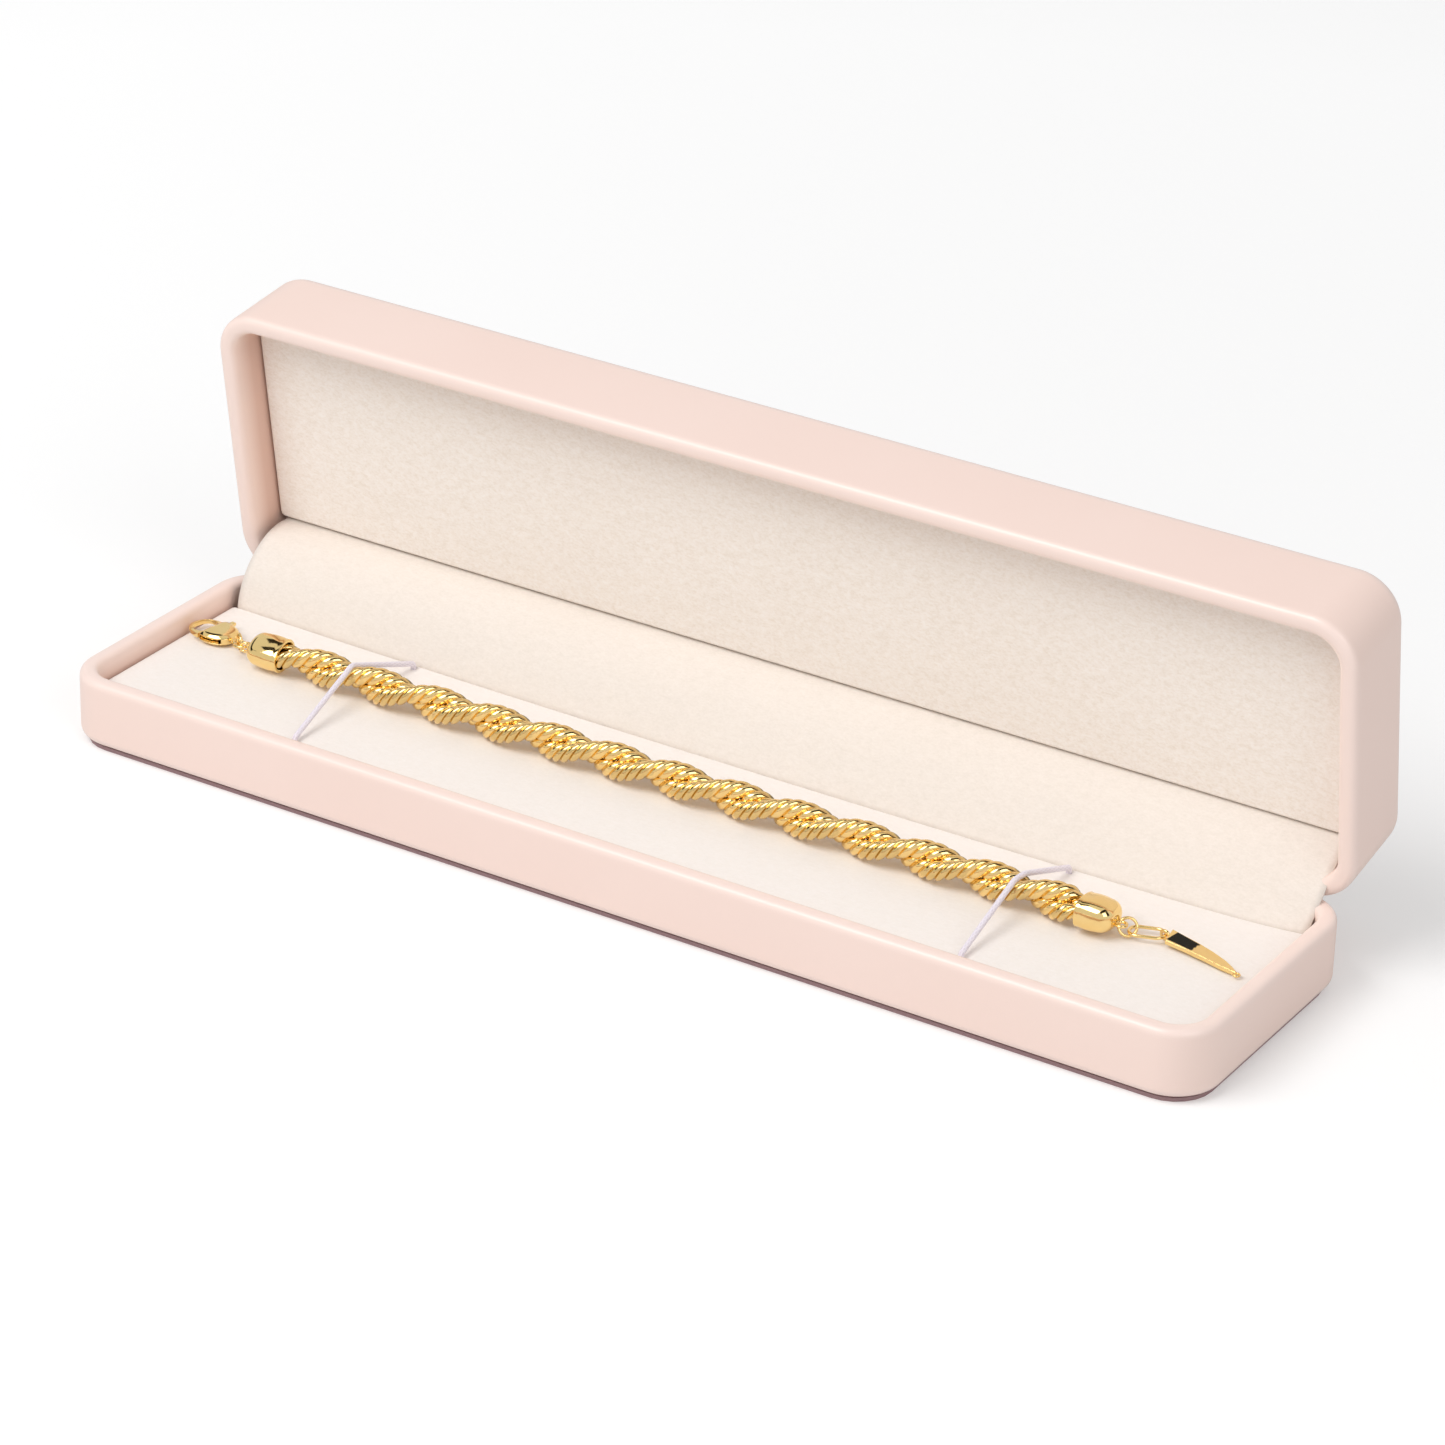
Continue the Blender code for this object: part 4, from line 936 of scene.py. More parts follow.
def swept(name, points, radius, sides, material, closed=False):
    """A round tube through points. Its UV map holds the share round it and metres along it."""
    points = [Vector(p) for p in points]
    count = len(points)
    tangents = []
    for i in range(count):
        before = points[i - 1] if closed or i else points[i]
        after = points[(i + 1) % count] if closed or i < count - 1 else points[i]
        tangents.append((after - before).normalized())
    side = tangents[0].orthogonal().normalized()
    shape = bmesh.new()
    uv = shape.loops.layers.uv.new("along")
    rings, lengths = [], [0.0]
    for i, (point, tangent) in enumerate(zip(points, tangents)):
        if i:
            side = tangents[i - 1].rotation_difference(tangent) @ side
            lengths.append(lengths[-1] + (point - points[i - 1]).length)
        up = tangent.cross(side)
        ring = []
        for step in range(sides):
            angle = 2 * math.pi * step / sides
            out = side * math.cos(angle) + up * math.sin(angle)
            ring.append(shape.verts.new(point + out * radius))
        rings.append(ring)
    lengths.append(lengths[-1] + (points[0] - points[-1]).length)
    pairs = list(zip(range(count), range(1, count)))
    if closed:
        pairs.append((count - 1, 0))
    turn = best_turn(rings[-1], rings[0]) if closed else 0
    for low, high in pairs:
        shift = turn if closed and high == 0 else 0
        for k in range(sides):
            a, b = k, (k + 1) % sides
            corners = (
                (rings[low][a], k, lengths[low]), (rings[low][b], k + 1, lengths[low]),
                (rings[high][(b + shift) % sides], k + 1, lengths[low + 1]),
                (rings[high][(a + shift) % sides], k, lengths[low + 1]),
            )
            face = shape.faces.new([corner[0] for corner in corners])
            for loop, (_, around, along) in zip(face.loops, corners):
                loop[uv].uv = (around / sides, along)
    if not closed:
        for ring, point, way in ((rings[0], points[0], -1), (rings[-1], points[-1], 1)):
            pole = shape.verts.new(point)
            for k in range(sides):
                shape.faces.new((ring[k], ring[(k + 1) % sides], pole))
    return piece_from(name, shape, material)


def best_turn(last, first):
    """How many steps round the first ring the last one's first point lies nearest to."""
    distances = [(vert.co - last[0].co).length for vert in first]
    return distances.index(min(distances))


def arc_about(centre, normal, radius, start, span, steps):
    """Points of an arc square to a normal, both ends included. Its angles are in radians."""
    turn = Vector((0, 0, 1)).rotation_difference(Vector(normal)).to_matrix()
    points = []
    for step in range(steps + 1):
        angle = start + span * step / steps
        out = turn @ Vector((math.cos(angle), math.sin(angle), 0))
        points.append(Vector(centre) + out * radius)
    return points


def wire_ring(name, centre, normal, radius, wire, sides=WIRE_SIDES):
    """A closed ring of round wire."""
    points = arc_about(centre, normal, radius, 0, 2 * math.pi, CIRCLE_STEPS)[:-1]
    return swept(name, points, wire, sides, GOLD, closed=True)


print("sweep ready")

# %% [markdown]
# Two elastic cords strap the bracelet down. Each comes up from a knot under the pad through
# the front slit, runs straight to the rope, over it, and down through the rear slit to another
# knot. A tight cord takes the shortest way over what it crosses. In its own plane that is the
# upper hull of the two strands' sections, at their own angle there, and of the slits' bends.

# %% Elastic cords
ROPE_Y = 0.6 * MM
ROPE_Z = 13.35 * MM
STRAND_RADIUS = 1.66 * MM
HELIX_RADIUS = 1.62 * MM
TWIST_PITCH = 24.6 * MM
LOBE_X = -2.1 * MM
LOBE_TURN = math.radians(67.5)
CORD_RADIUS = 0.5 * MM
CORD_BEND = 0.7 * MM
CORD_SINK = 0.1 * MM
SLIPPED_LEFT = -1.6 * MM
SLIPPED_RIGHT = -1.0 * MM
CORD_REST = BASE_PAD_TOP + CLEARANCE
KNOT_Z = 6.25 * MM
KNOT_RADIUS = 0.9 * MM
CORD_SIDES = 20
CORD_SPACING = 0.4 * MM
BEND_STEPS = 16
OVER_STRAND_STEPS = 60
KNOT_SEGMENTS = (20, 12)


def lobe_angle(x):
    """The angle of the first strand's middle about the rope's axis."""
    return LOBE_TURN - 2 * math.pi * (x - LOBE_X) / TWIST_PITCH


def upper_hull(points):
    """The taut line over some points, from the first to the last."""
    hull = []
    for point in sorted(points):
        while len(hull) > 1:
            (a, b), (c, d) = hull[-2:]
            if (c - a) * (point[1] - b) < (d - b) * (point[0] - a):
                break
            hull.pop()
        hull.append(point)
    return hull


def spread_along(path, step):
    """The same path with points no further apart than a step."""
    points = [path[0]]
    for a, b in zip(path, path[1:]):
        parts = max(1, math.ceil((b - a).length / step))
        points += [a.lerp(b, i / parts) for i in range(1, parts + 1)]
    return points


def aside(y, slipped, ends):
    """How far the cord has slipped along the rope at a place on its way over."""
    middle = ends[0] if y < ROPE_Y else ends[1]
    return slipped * min(1.0, abs(y - middle) / abs(ROPE_Y - middle))


def elastic_cord(name, node, x, slipped):
    """A cord over the rope at a place along it, and its two knots under the pad."""
    ends = (FRONT_SLIT_Y, rear_slit(x))
    crossed = arc((ends[0] + CORD_BEND, CORD_REST), CORD_BEND, 90, 180, BEND_STEPS)
    crossed += arc((ends[1] - CORD_BEND, CORD_REST), CORD_BEND, 0, 90, BEND_STEPS)
    for angle in (lobe_angle(x + slipped), lobe_angle(x + slipped) + math.pi):
        middle = (ROPE_Y + HELIX_RADIUS * math.cos(angle), ROPE_Z + HELIX_RADIUS * math.sin(angle))
        over = STRAND_RADIUS + CORD_RADIUS - CORD_SINK
        crossed += arc(middle, over, 0, 180, OVER_STRAND_STEPS)
    path = [(ends[0], KNOT_Z), *upper_hull(crossed), (ends[1], KNOT_Z)]
    path = spread_along([Vector((x, y, z)) for y, z in path], CORD_SPACING)
    points = [Vector((x + aside(y, slipped, ends), y, z)) for _, y, z in path]
    cord = swept(name, points, CORD_RADIUS, CORD_SIDES, ELASTIC)
    shape = bmesh.new()
    shape.from_mesh(cord.data)
    around, up = KNOT_SEGMENTS
    for y in ends:
        bmesh.ops.create_uvsphere(
            shape, u_segments=around, v_segments=up, radius=KNOT_RADIUS,
            matrix=Matrix.Translation((x, y, KNOT_Z)),
        )
    shape.to_mesh(cord.data)
    shape.free()
    cord.data.shade_smooth()
    joined_on(cord, "base", "elastic", node)


elastic_cord("elastic_cord_left", "elastic_left", CORD_LEFT_X, SLIPPED_LEFT)
elastic_cord("elastic_cord_right", "elastic_right", CORD_RIGHT_X, SLIPPED_RIGHT)

# %% [markdown]
# The rope is two strands wound round each other, and each strand is laid from three wires of
# its own, whose turns show as fat slanted ribs. Modelling the ribs one by one would be slow
# work, and they follow a rule: they wind round the strand like a screw thread of three starts,
# while the strand winds round the rope. So a Geometry Nodes tree bends a plain grid into that
# shape. Its rows crowd at the valleys, because they are spaced as points on each rib's own
# round section, and at both ends they shrink to a point, which closes the strand.

# %% Rope sizes
RIBS_PER_TURN = 9
RIB_STARTS = 3
RIB_DEPTH = 0.68 * MM
INNER_SWELL_SHARE = 0.13
ROPE_START = -85.2 * MM
ROPE_END = 75.7 * MM
STRAND_TUCK = 2.2 * MM
SQUEEZE_RUN = 2.0 * MM
TUCKED_HELIX = 1.4 * MM
TUCKED_RADIUS = 1.1 * MM
RIB_ROWS = 14
RIB_SIDES = 36
POLE_MARGIN = 0.001 * MM
WELD_DISTANCE = 0.002 * MM
print("the rope makes", round((ROPE_END - ROPE_START) / TWIST_PITCH, 1), "turns")

# %% Ribbed strand tree
STRAND_INPUTS = (
    ("Rope Start", ROPE_START), ("Rope End", ROPE_END), ("Tuck", STRAND_TUCK),
    ("Pitch", TWIST_PITCH), ("Helix Radius", HELIX_RADIUS), ("Strand Radius", STRAND_RADIUS),
    ("Lobe Place", LOBE_X), ("Lobe Turn", LOBE_TURN), ("Rib Depth", RIB_DEPTH),
    ("Inner Swell", INNER_SWELL_SHARE), ("Squeeze Run", SQUEEZE_RUN),
    ("Tucked Helix", TUCKED_HELIX), ("Tucked Radius", TUCKED_RADIUS), ("Axis Y", ROPE_Y),
    ("Axis Z", ROPE_Z),
)


def strand_tree():
    """A node tree that bends a grid into one ribbed strand of the rope."""
    tree = bpy.data.node_groups.new("ribbed_strand", "GeometryNodeTree")
    face = tree.interface
    face.new_socket("Geometry", in_out="INPUT", socket_type="NodeSocketGeometry")
    face.new_socket("Geometry", in_out="OUTPUT", socket_type="NodeSocketGeometry")
    for name, default in STRAND_INPUTS:
        face.new_socket(name, in_out="INPUT", socket_type="NodeSocketFloat").default_value = default
    for name in ("Ribs", "Starts"):
        face.new_socket(name, in_out="INPUT", socket_type="NodeSocketInt").default_value = 1
    face.new_socket("Finish", in_out="INPUT", socket_type="NodeSocketMaterial")
    nodes = Nodes(tree)
    given = tree.nodes.new("NodeGroupInput")
    value = {socket.name: Value(nodes, socket) for socket in given.outputs}
    rows = value["Ribs"] + value["Starts"]
    grid = nodes.add("GeometryNodeMeshGrid", None, {
        "Size X": 1.0, "Size Y": 1.0,
        "Vertices X": RIB_SIDES + 1, "Vertices Y": rows * RIB_ROWS + 1,
    })
    place = nodes.add("ShaderNodeSeparateXYZ", None, [nodes.add("GeometryNodeInputPosition")])
    share_around = place + 0.5
    around = share_around * (2 * math.pi)
    count = (place.output(1) + 0.5) * rows
    count = (count * RIB_ROWS).math("ROUND") / RIB_ROWS
    whole = count.math("FLOOR")
    bend = (count - whole - 0.5) * math.pi
    start = value["Rope Start"] - value["Tuck"]
    end = value["Rope End"] + value["Tuck"]
    step = (end - start) / value["Ribs"]
    thread = value["Starts"] * (1.0 - share_around)
    marched = start + step * (whole + 0.5 + bend.math("SINE") * 0.5 - thread)
    x = marched.math("MAXIMUM", start).math("MINIMUM", end)
    inside = (marched - start).math("MINIMUM", end - marched).math("GREATER_THAN", POLE_MARGIN)
    free = (x - value["Rope Start"]).math("MINIMUM", value["Rope End"] - x).math("MAXIMUM", 0.0)
    tucked = 1.0 - (free / value["Squeeze Run"]).math("MINIMUM", 1.0)
    helix = value["Helix Radius"] + (value["Tucked Helix"] - value["Helix Radius"]) * tucked
    radius = value["Strand Radius"] + (value["Tucked Radius"] - value["Strand Radius"]) * tucked
    radius = radius - value["Rib Depth"] * (1.0 - bend.math("COSINE"))
    swell = (around.math("COSINE") * -1.0).math("MAXIMUM", 0.0) * value["Inner Swell"] + 1.0
    radius = radius * swell * inside
    turn = value["Lobe Turn"] - (x - value["Lobe Place"]) / value["Pitch"] * (2 * math.pi)
    out = helix + radius * around.math("COSINE")
    over = radius * around.math("SINE")
    cosine, sine = turn.math("COSINE"), turn.math("SINE")
    target = nodes.add("ShaderNodeCombineXYZ", None, [
        x,
        value["Axis Y"] + out * cosine + over * sine,
        value["Axis Z"] + out * sine - over * cosine,
    ])
    made = nodes.add("GeometryNodeSetPosition", None, {"Geometry": grid, "Position": target})
    settings = {"data_type": "FLOAT", "domain": "POINT"}
    # The gold darkens the crevices by this depth, as painted shade.
    depth = 1.0 - bend.math("COSINE")
    inputs = {"Geometry": made, "Name": "depth", "Value": depth}
    made = nodes.add("GeometryNodeStoreNamedAttribute", settings, inputs)
    inputs = {"Geometry": made, "Distance": WELD_DISTANCE}
    made = nodes.add("GeometryNodeMergeByDistance", None, inputs)
    made = nodes.add("GeometryNodeSetShadeSmooth", None, {"Geometry": made})
    made = nodes.add("GeometryNodeRealizeInstances", None, [made])
    inputs = {"Geometry": made, "Material": value["Finish"]}
    made = nodes.add("GeometryNodeSetMaterial", None, inputs)
    result = tree.nodes.new("NodeGroupOutput")
    tree.links.new(made.socket, result.inputs[0])
    return tree


def input_id(tree, name):
    """The identifier of a tree's named input, which is what a modifier's value is set by."""
    return next(
        item.identifier for item in tree.interface.items_tree
        if item.item_type == "SOCKET" and item.in_out == "INPUT" and item.name == name
    )


STRAND_TREE = strand_tree()
print("ribbed strand tree:", len(STRAND_TREE.nodes), "nodes")

# %% Rope strands
def plain_from_nodes(name, tree, values, material):
    """A plain mesh of what a Geometry Nodes tree makes with these inputs."""
    seed = bpy.data.objects.new(name, bpy.data.meshes.new(name))
    bpy.context.scene.collection.objects.link(seed)
    step = seed.modifiers.new("nodes", "NODES")
    step.node_group = tree
    for key, value in values.items():
        step[input_id(tree, key)] = value
    settled(seed)
    shape = bmesh.new()
    shape.from_mesh(seed.data)
    bmesh.ops.recalc_face_normals(shape, faces=shape.faces)
    shape.to_mesh(seed.data)
    shape.free()
    dress(seed.data, material)
    return seed


def rope_strands():
    run = ROPE_END - ROPE_START + 2 * STRAND_TUCK
    ribs = round(run / TWIST_PITCH * RIBS_PER_TURN)
    for letter, half_turn in (("a", 0.0), ("b", math.pi)):
        values = {
            "Ribs": ribs, "Starts": RIB_STARTS, "Lobe Turn": LOBE_TURN + half_turn, "Finish": GOLD,
        }
        strand = plain_from_nodes(f"ribbed_strand_{letter}", STRAND_TREE, values, GOLD)
        joined_on(strand, "base", "gold_plate", f"rope_strand_{letter}")


rope_strands()

# %% [markdown]
# The end caps are drawn from sheet: flattened cups with a round nose. A cap is a loft along
# the rope, like the shells of the case, but its section is a pillow, a little squarer than an
# ellipse, and its rows run from the nose to the lip and back into the pocket. An eye of wire
# stands on a short neck in front of the nose.

# %% End caps
LEFT_CAP_SECTION = (3.15 * MM, 2.4 * MM, 0.86)
RIGHT_CAP_SECTION = (3.45 * MM, 2.6 * MM, 0.72)
CAP_SIDES = 80
LIP_STEPS = 6
OVAL_SIDES = 72
OVAL_SQUARENESS = 0.85
CAP_NOSE = 2.25 * MM
CAP_BARREL = 0.16 * MM
CAP_WALL = 0.5 * MM
CAP_LIP = 0.2 * MM
CAP_LIP_BEAD = 0.12 * MM
CAP_POCKET = 3.4 * MM
LEFT_NOSE_X = -91.5 * MM
LEFT_MOUTH_X = -84.2 * MM
RIGHT_NOSE_X = 82.7 * MM
RIGHT_MOUTH_X = 76.4 * MM
LEFT_CAP_TILT = math.radians(28)
RIGHT_CAP_TILT = math.radians(-7)
EYE_RADIUS = 0.85 * MM
EYE_WIRE = 0.28 * MM
EYE_Z = 12.7 * MM
LEFT_EYE_X = -93.05 * MM
RIGHT_EYE_X = 83.55 * MM
NECK_RADIUS = 0.42 * MM


def cap_rows(length):
    """Rows (inset, height) from the round nose, over a slightly swollen barrel, to the lip."""
    rows = []
    for step in range(ARC_STEPS + 1):
        angle = math.pi / 2 * step / ARC_STEPS
        rows.append((CAP_NOSE * (1 - math.sin(angle)), CAP_NOSE * (1 - math.cos(angle))))
    barrel = length - CAP_NOSE - CAP_LIP
    for step in range(1, ARC_STEPS):
        share = step / ARC_STEPS
        swell = CAP_BARREL * math.sin(math.pi * share)
        rows.append((-swell, CAP_NOSE + barrel * share))
    lip = (CAP_WALL + CAP_LIP_BEAD) / 2
    for step in range(LIP_STEPS + 1):
        angle = math.pi * step / LIP_STEPS
        inset = lip * (1 - math.cos(angle)) - CAP_LIP_BEAD
        rows.append((inset, length - CAP_LIP * (1 - math.sin(angle))))
    rows.append((CAP_WALL, length - CAP_POCKET))
    return rows


def oval(centre_u, half_u, half_v, sides=OVAL_SIDES, share=OVAL_SQUARENESS):
    """A closed oval. At a share of 1 it is an ellipse, and below that it is squarer."""
    points = []
    for step in range(sides):
        angle = 2 * math.pi * step / sides
        along, across = math.cos(angle), math.sin(angle)
        u = centre_u + half_u * math.copysign(abs(along) ** share, along)
        points.append((u, half_v * math.copysign(abs(across) ** share, across)))
    return points


def capped_loft(name, section, rows, material):
    """A solid through rows of (inset, height), closed by a face at both ends."""
    half_width, half_height, squareness = section
    shape = bmesh.new()
    rings = []
    for inset, height in rows:
        outline = oval(0, half_width - inset, half_height - inset, CAP_SIDES, squareness)
        rings.append([shape.verts.new((x, y, height)) for x, y in outline])
    bridge(shape, rings)
    return piece_from(name, shape, material, smooth_degrees=50.0)


def join_meshes(first, *others):
    """Puts other pieces' meshes into the first one's, and removes them."""
    shape = bmesh.new()
    shape.from_mesh(first.data)
    for other in others:
        shape.from_mesh(other.data)
        bpy.data.objects.remove(other, do_unlink=True)
    shape.to_mesh(first.data)
    shape.free()
    return first


def end_cap(name, node, section, mouth_x, nose_x, tilt, eye_x, eye_normal):
    """A cap over the rope's end. Its tilt is the turn of its wide side about the rope."""
    cap = capped_loft(name, section, cap_rows(abs(nose_x - mouth_x)), GOLD)
    outward = math.copysign(1, nose_x - mouth_x)
    along = Vector((-outward, 0, 0))
    wide = Vector((0, math.cos(tilt), math.sin(tilt)))
    turn = Matrix((wide, along.cross(wide), along)).transposed().to_4x4()
    cap.data.transform(Matrix.Translation((nose_x, ROPE_Y, ROPE_Z)) @ turn)
    centre = (eye_x, ROPE_Y, EYE_Z)
    eye = wire_ring("eye", centre, eye_normal, EYE_RADIUS, EYE_WIRE)
    neck_from = (eye_x - outward * EYE_RADIUS, ROPE_Y, EYE_Z)
    neck_to = (nose_x - outward * CAP_WALL, ROPE_Y, EYE_Z)
    neck = swept("neck", [neck_from, neck_to], NECK_RADIUS, WIRE_SIDES, GOLD)
    join_meshes(cap, eye, neck)
    joined_on(cap, "base", "gold_plate", node)


end_cap("drawn_cap_left", "end_cap_left", LEFT_CAP_SECTION, LEFT_MOUTH_X, LEFT_NOSE_X,
        LEFT_CAP_TILT, LEFT_EYE_X, (0, 1, 0))
end_cap("drawn_cap_right", "end_cap_right", RIGHT_CAP_SECTION, RIGHT_MOUTH_X, RIGHT_NOSE_X,
        RIGHT_CAP_TILT, RIGHT_EYE_X, (0, 0, 1))

# %% [markdown]
# Jump rings are cut from a coil of wire and closed by hand, so each shows a hairline where its
# ends meet. Their places come from the model: a ring's box gives its middle, and the way that
# the chain lies gives its plane.

# %% Jump rings and long link
RING_RADIUS = 1.5 * MM
RING_WIRE = 0.26 * MM
RING_CUT_DEGREES = 4.0
CHAIN_HEADING = math.radians(140)
TAG_RING_NORMAL = (0.50, -0.73, 0.45)
RING_STEPS = 64


def middle_of(node):
    low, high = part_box(node)
    return (Vector(low) + Vector(high)) / 2


def jump_ring(name, node, normal, cut_degrees):
    """An almost closed ring. cut_degrees is where round it the two ends meet."""
    start = math.radians(cut_degrees + RING_CUT_DEGREES / 2)
    span = math.radians(360 - RING_CUT_DEGREES)
    points = arc_about(middle_of(node), normal, RING_RADIUS, start, span, RING_STEPS)
    ring = swept(name, points, RING_WIRE, WIRE_SIDES, GOLD)
    joined_on(ring, "base", "gold_plate", node)


def heading(angle):
    return Vector((math.cos(angle), math.sin(angle), 0))


chain_side = heading(CHAIN_HEADING + math.pi / 2)
chain_way = (middle_of("clasp_ring_far") - middle_of("clasp_ring_near")).normalized()
jump_ring("jump_ring_near", "clasp_ring_near", chain_way.cross(chain_side), 200)
jump_ring("jump_ring_far", "clasp_ring_far", chain_side, 120)
jump_ring("jump_ring_tag", "tag_ring", TAG_RING_NORMAL, 30)

# %% [markdown]
# The long link is a wire bent round two pegs: two half circles with straight runs between. It
# hangs between the cap's eye and the tag's ring, one higher than the other, so it leans. How
# much comes from the height of the model's own link.

# %% Long link
LINK_LENGTH = 6.0 * MM
LINK_HALF_WIDTH = 1.6 * MM
LINK_WIRE = 0.3 * MM
LINK_HEADING = math.radians(20)
LINK_ARC_STEPS = 24


def long_link():
    centre = middle_of("long_link")
    low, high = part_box("long_link")
    drop = max(0.0, high[2] - low[2] - 2 * LINK_WIRE) / LINK_LENGTH
    run = Vector((*heading(LINK_HEADING).xy * math.sqrt(1 - drop ** 2), -drop))
    side = heading(LINK_HEADING + math.pi / 2)
    straight = LINK_LENGTH / 2 - LINK_HALF_WIDTH
    points = []
    for turn, way in ((0, 1), (180, -1)):
        ends = (turn - 90, turn + 90)
        for u, v in arc((way * straight, 0), LINK_HALF_WIDTH, *ends, LINK_ARC_STEPS):
            points.append(centre + run * u + side * v)
    link = swept("oval_link", points, LINK_WIRE, WIRE_SIDES, GOLD, closed=True)
    joined_on(link, "base", "gold_plate", "long_link")


long_link()

# %% [markdown]
# The clasp and the tag are castings: every edge is soft. Booleans give sharp edges, which a
# bevel can't follow round such small openings. A voxel remesh turns the cut shape into even
# little faces, and a few rounds of smoothing then melt its edges as polishing does.

# %% Cast pieces
def prism(outline, low, high):
    shape = bmesh.new()
    bridge(shape, [[shape.verts.new((x, y, z)) for x, y in outline] for z in (low, high)])
    return piece_from("prism", shape, GOLD)


def melted(piece, voxel, rounds):
    """Even small faces all over, with every edge softened."""
    remesh = piece.modifiers.new("remesh", "REMESH")
    remesh.mode = "VOXEL"
    remesh.voxel_size = voxel
    remesh.use_smooth_shade = True
    smooth = piece.modifiers.new("smooth", "SMOOTH")
    smooth.factor = 0.5
    smooth.iterations = rounds
    settled(piece)
    piece.data.shade_smooth()
    dress(piece.data, GOLD)
    return piece


print("casting tools ready")

# %% Clasp sizes
CLASP_TAIL = Vector((-97.051 * MM, 3.957 * MM, 11.2 * MM))
CLASP_HEADING = math.radians(170)
CLASP_START = 1.2 * MM
CLASP_LENGTH = 10.2 * MM
CLASP_HALF_WIDTH = 3.35 * MM
CLASP_HALF_THICKNESS = 1.25 * MM
CLASP_RIM = 0.55 * MM
HOOK_CENTRE = 8.65 * MM
HOOK_HALF_LENGTH = 1.85 * MM
HOOK_HALF_WIDTH = 2.4 * MM
SLOT_START = 2.2 * MM
SLOT_END = 6.6 * MM
SLOT_HALF = 0.42 * MM
GATE_START = 7.0 * MM
GATE_END = 9.4 * MM
GATE_GAP = 0.35 * MM
GATE_REACH = 0.4 * MM
PIVOT_U = 4.2 * MM
PIVOT_V = -1.0 * MM
RIVET_RADIUS = 0.4 * MM
RIVET_HALF_LENGTH = 0.84 * MM
BORE_RADIUS = 0.6 * MM
BORE_HALF_LENGTH = 0.9 * MM
HOOK_THINS_FROM = 5.8 * MM
HOOK_THINS_OVER = 1.6 * MM
HOOK_THINS_BY = 0.56
LEVER_HALF = 0.3 * MM
GATE_HALF = 0.46 * MM
CLASP_VOXEL = 0.085 * MM
CLASP_PLACE = (
    Matrix.Translation(CLASP_TAIL) @ Matrix.Rotation(CLASP_HEADING, 4, "Z")
    @ Matrix.Rotation(math.pi, 4, "X")
)
print("clasp:", round(CLASP_LENGTH / MM, 1), "mm long")

# %% [markdown]
# The lobster clasp is a plump oval with a hook's opening, a slot for the thumb lever, and a bore
# for its rivet. Its body is made whole and then cut, so that each opening follows from a few
# sizes. The gate at the lever's end is cut from the same oval, and so closes the hook flush.

# %% Lobster clasp
DOME_STEPS = 8
DOME_STEEPNESS = 1.9
DOME_DRAWN_IN = 0.97
ROD_SIDES = 32


def thinned(u, height):
    """The body's half height at a place along it: the hook is thinner than the dome."""
    share = max(0.0, min(1.0, (u - HOOK_THINS_FROM) / HOOK_THINS_OVER))
    return height * (1 - HOOK_THINS_BY * share * share * (3 - 2 * share))


def domed_oval():
    """The clasp's plump body: an oval whose faces rise from a narrow rim."""
    centre = CLASP_START + CLASP_LENGTH / 2
    shape = bmesh.new()
    rows = []
    for side in (-1, 1):
        for step in range(DOME_STEPS + 1):
            share = step / DOME_STEPS if side > 0 else 1 - step / DOME_STEPS
            rise = math.sqrt(max(0.0, 1 - (1 - min(1.0, share * DOME_STEEPNESS)) ** 2))
            height = CLASP_RIM + (CLASP_HALF_THICKNESS - CLASP_RIM) * rise
            rows.append((1 - DOME_DRAWN_IN * share, side * height))
    rings = []
    for size, height in rows:
        outline = oval(centre, CLASP_LENGTH / 2 * size, CLASP_HALF_WIDTH * size)
        rings.append([shape.verts.new((u, v, thinned(u, height))) for u, v in outline])
    bridge(shape, rings)
    return piece_from("cast_clasp", shape, GOLD)


def hook_opening(height):
    return prism(oval(HOOK_CENTRE, HOOK_HALF_LENGTH, HOOK_HALF_WIDTH), -height, height)


def rod(place, radius, half_length):
    return prism(arc(place, radius, 0, 360, ROD_SIDES)[:-1], -half_length, half_length)


def cast_clasp():
    body = domed_oval()
    reach = CLASP_HALF_WIDTH + OVERRUN
    deep = CLASP_HALF_THICKNESS + OVERRUN
    slot = block((SLOT_START, -reach, -SLOT_HALF), (SLOT_END, reach, SLOT_HALF))
    gate_way = block(
        (GATE_START - GATE_GAP, -reach, -deep), (GATE_END + GATE_GAP, GATE_REACH, deep)
    )
    bore = rod((PIVOT_U, PIVOT_V), BORE_RADIUS, BORE_HALF_LENGTH)
    cut(body, slot, hook_opening(deep), gate_way, bore)
    neck = block(
        (EYE_RADIUS, -EYE_RADIUS / 2, -EYE_WIRE),
        (SLOT_START - 2 * CLEARANCE, EYE_RADIUS / 2, EYE_WIRE),
    )
    eye = wire_ring("tail_eye", (0, 0, 0), (0, 0, 1), EYE_RADIUS, EYE_WIRE)
    merged_with(body, neck, eye)
    melted(body, CLASP_VOXEL, 5)
    body.data.transform(CLASP_PLACE)
    joined_on(body, "clasp", "gold_plate", "clasp_body")


LEVER_SHARES = [
    (0.55, 1.44), (0.64, 1.44), (0.64, 1.06), (0.59, 0.50), (0.54, -0.12), (0.62, -0.44),
    (0.76, -0.55), (0.76, -0.75), (0.60, -0.78), (0.42, -0.69), (0.33, -0.50), (0.32, -0.16),
    (0.42, 0.25), (0.52, 0.81),
]


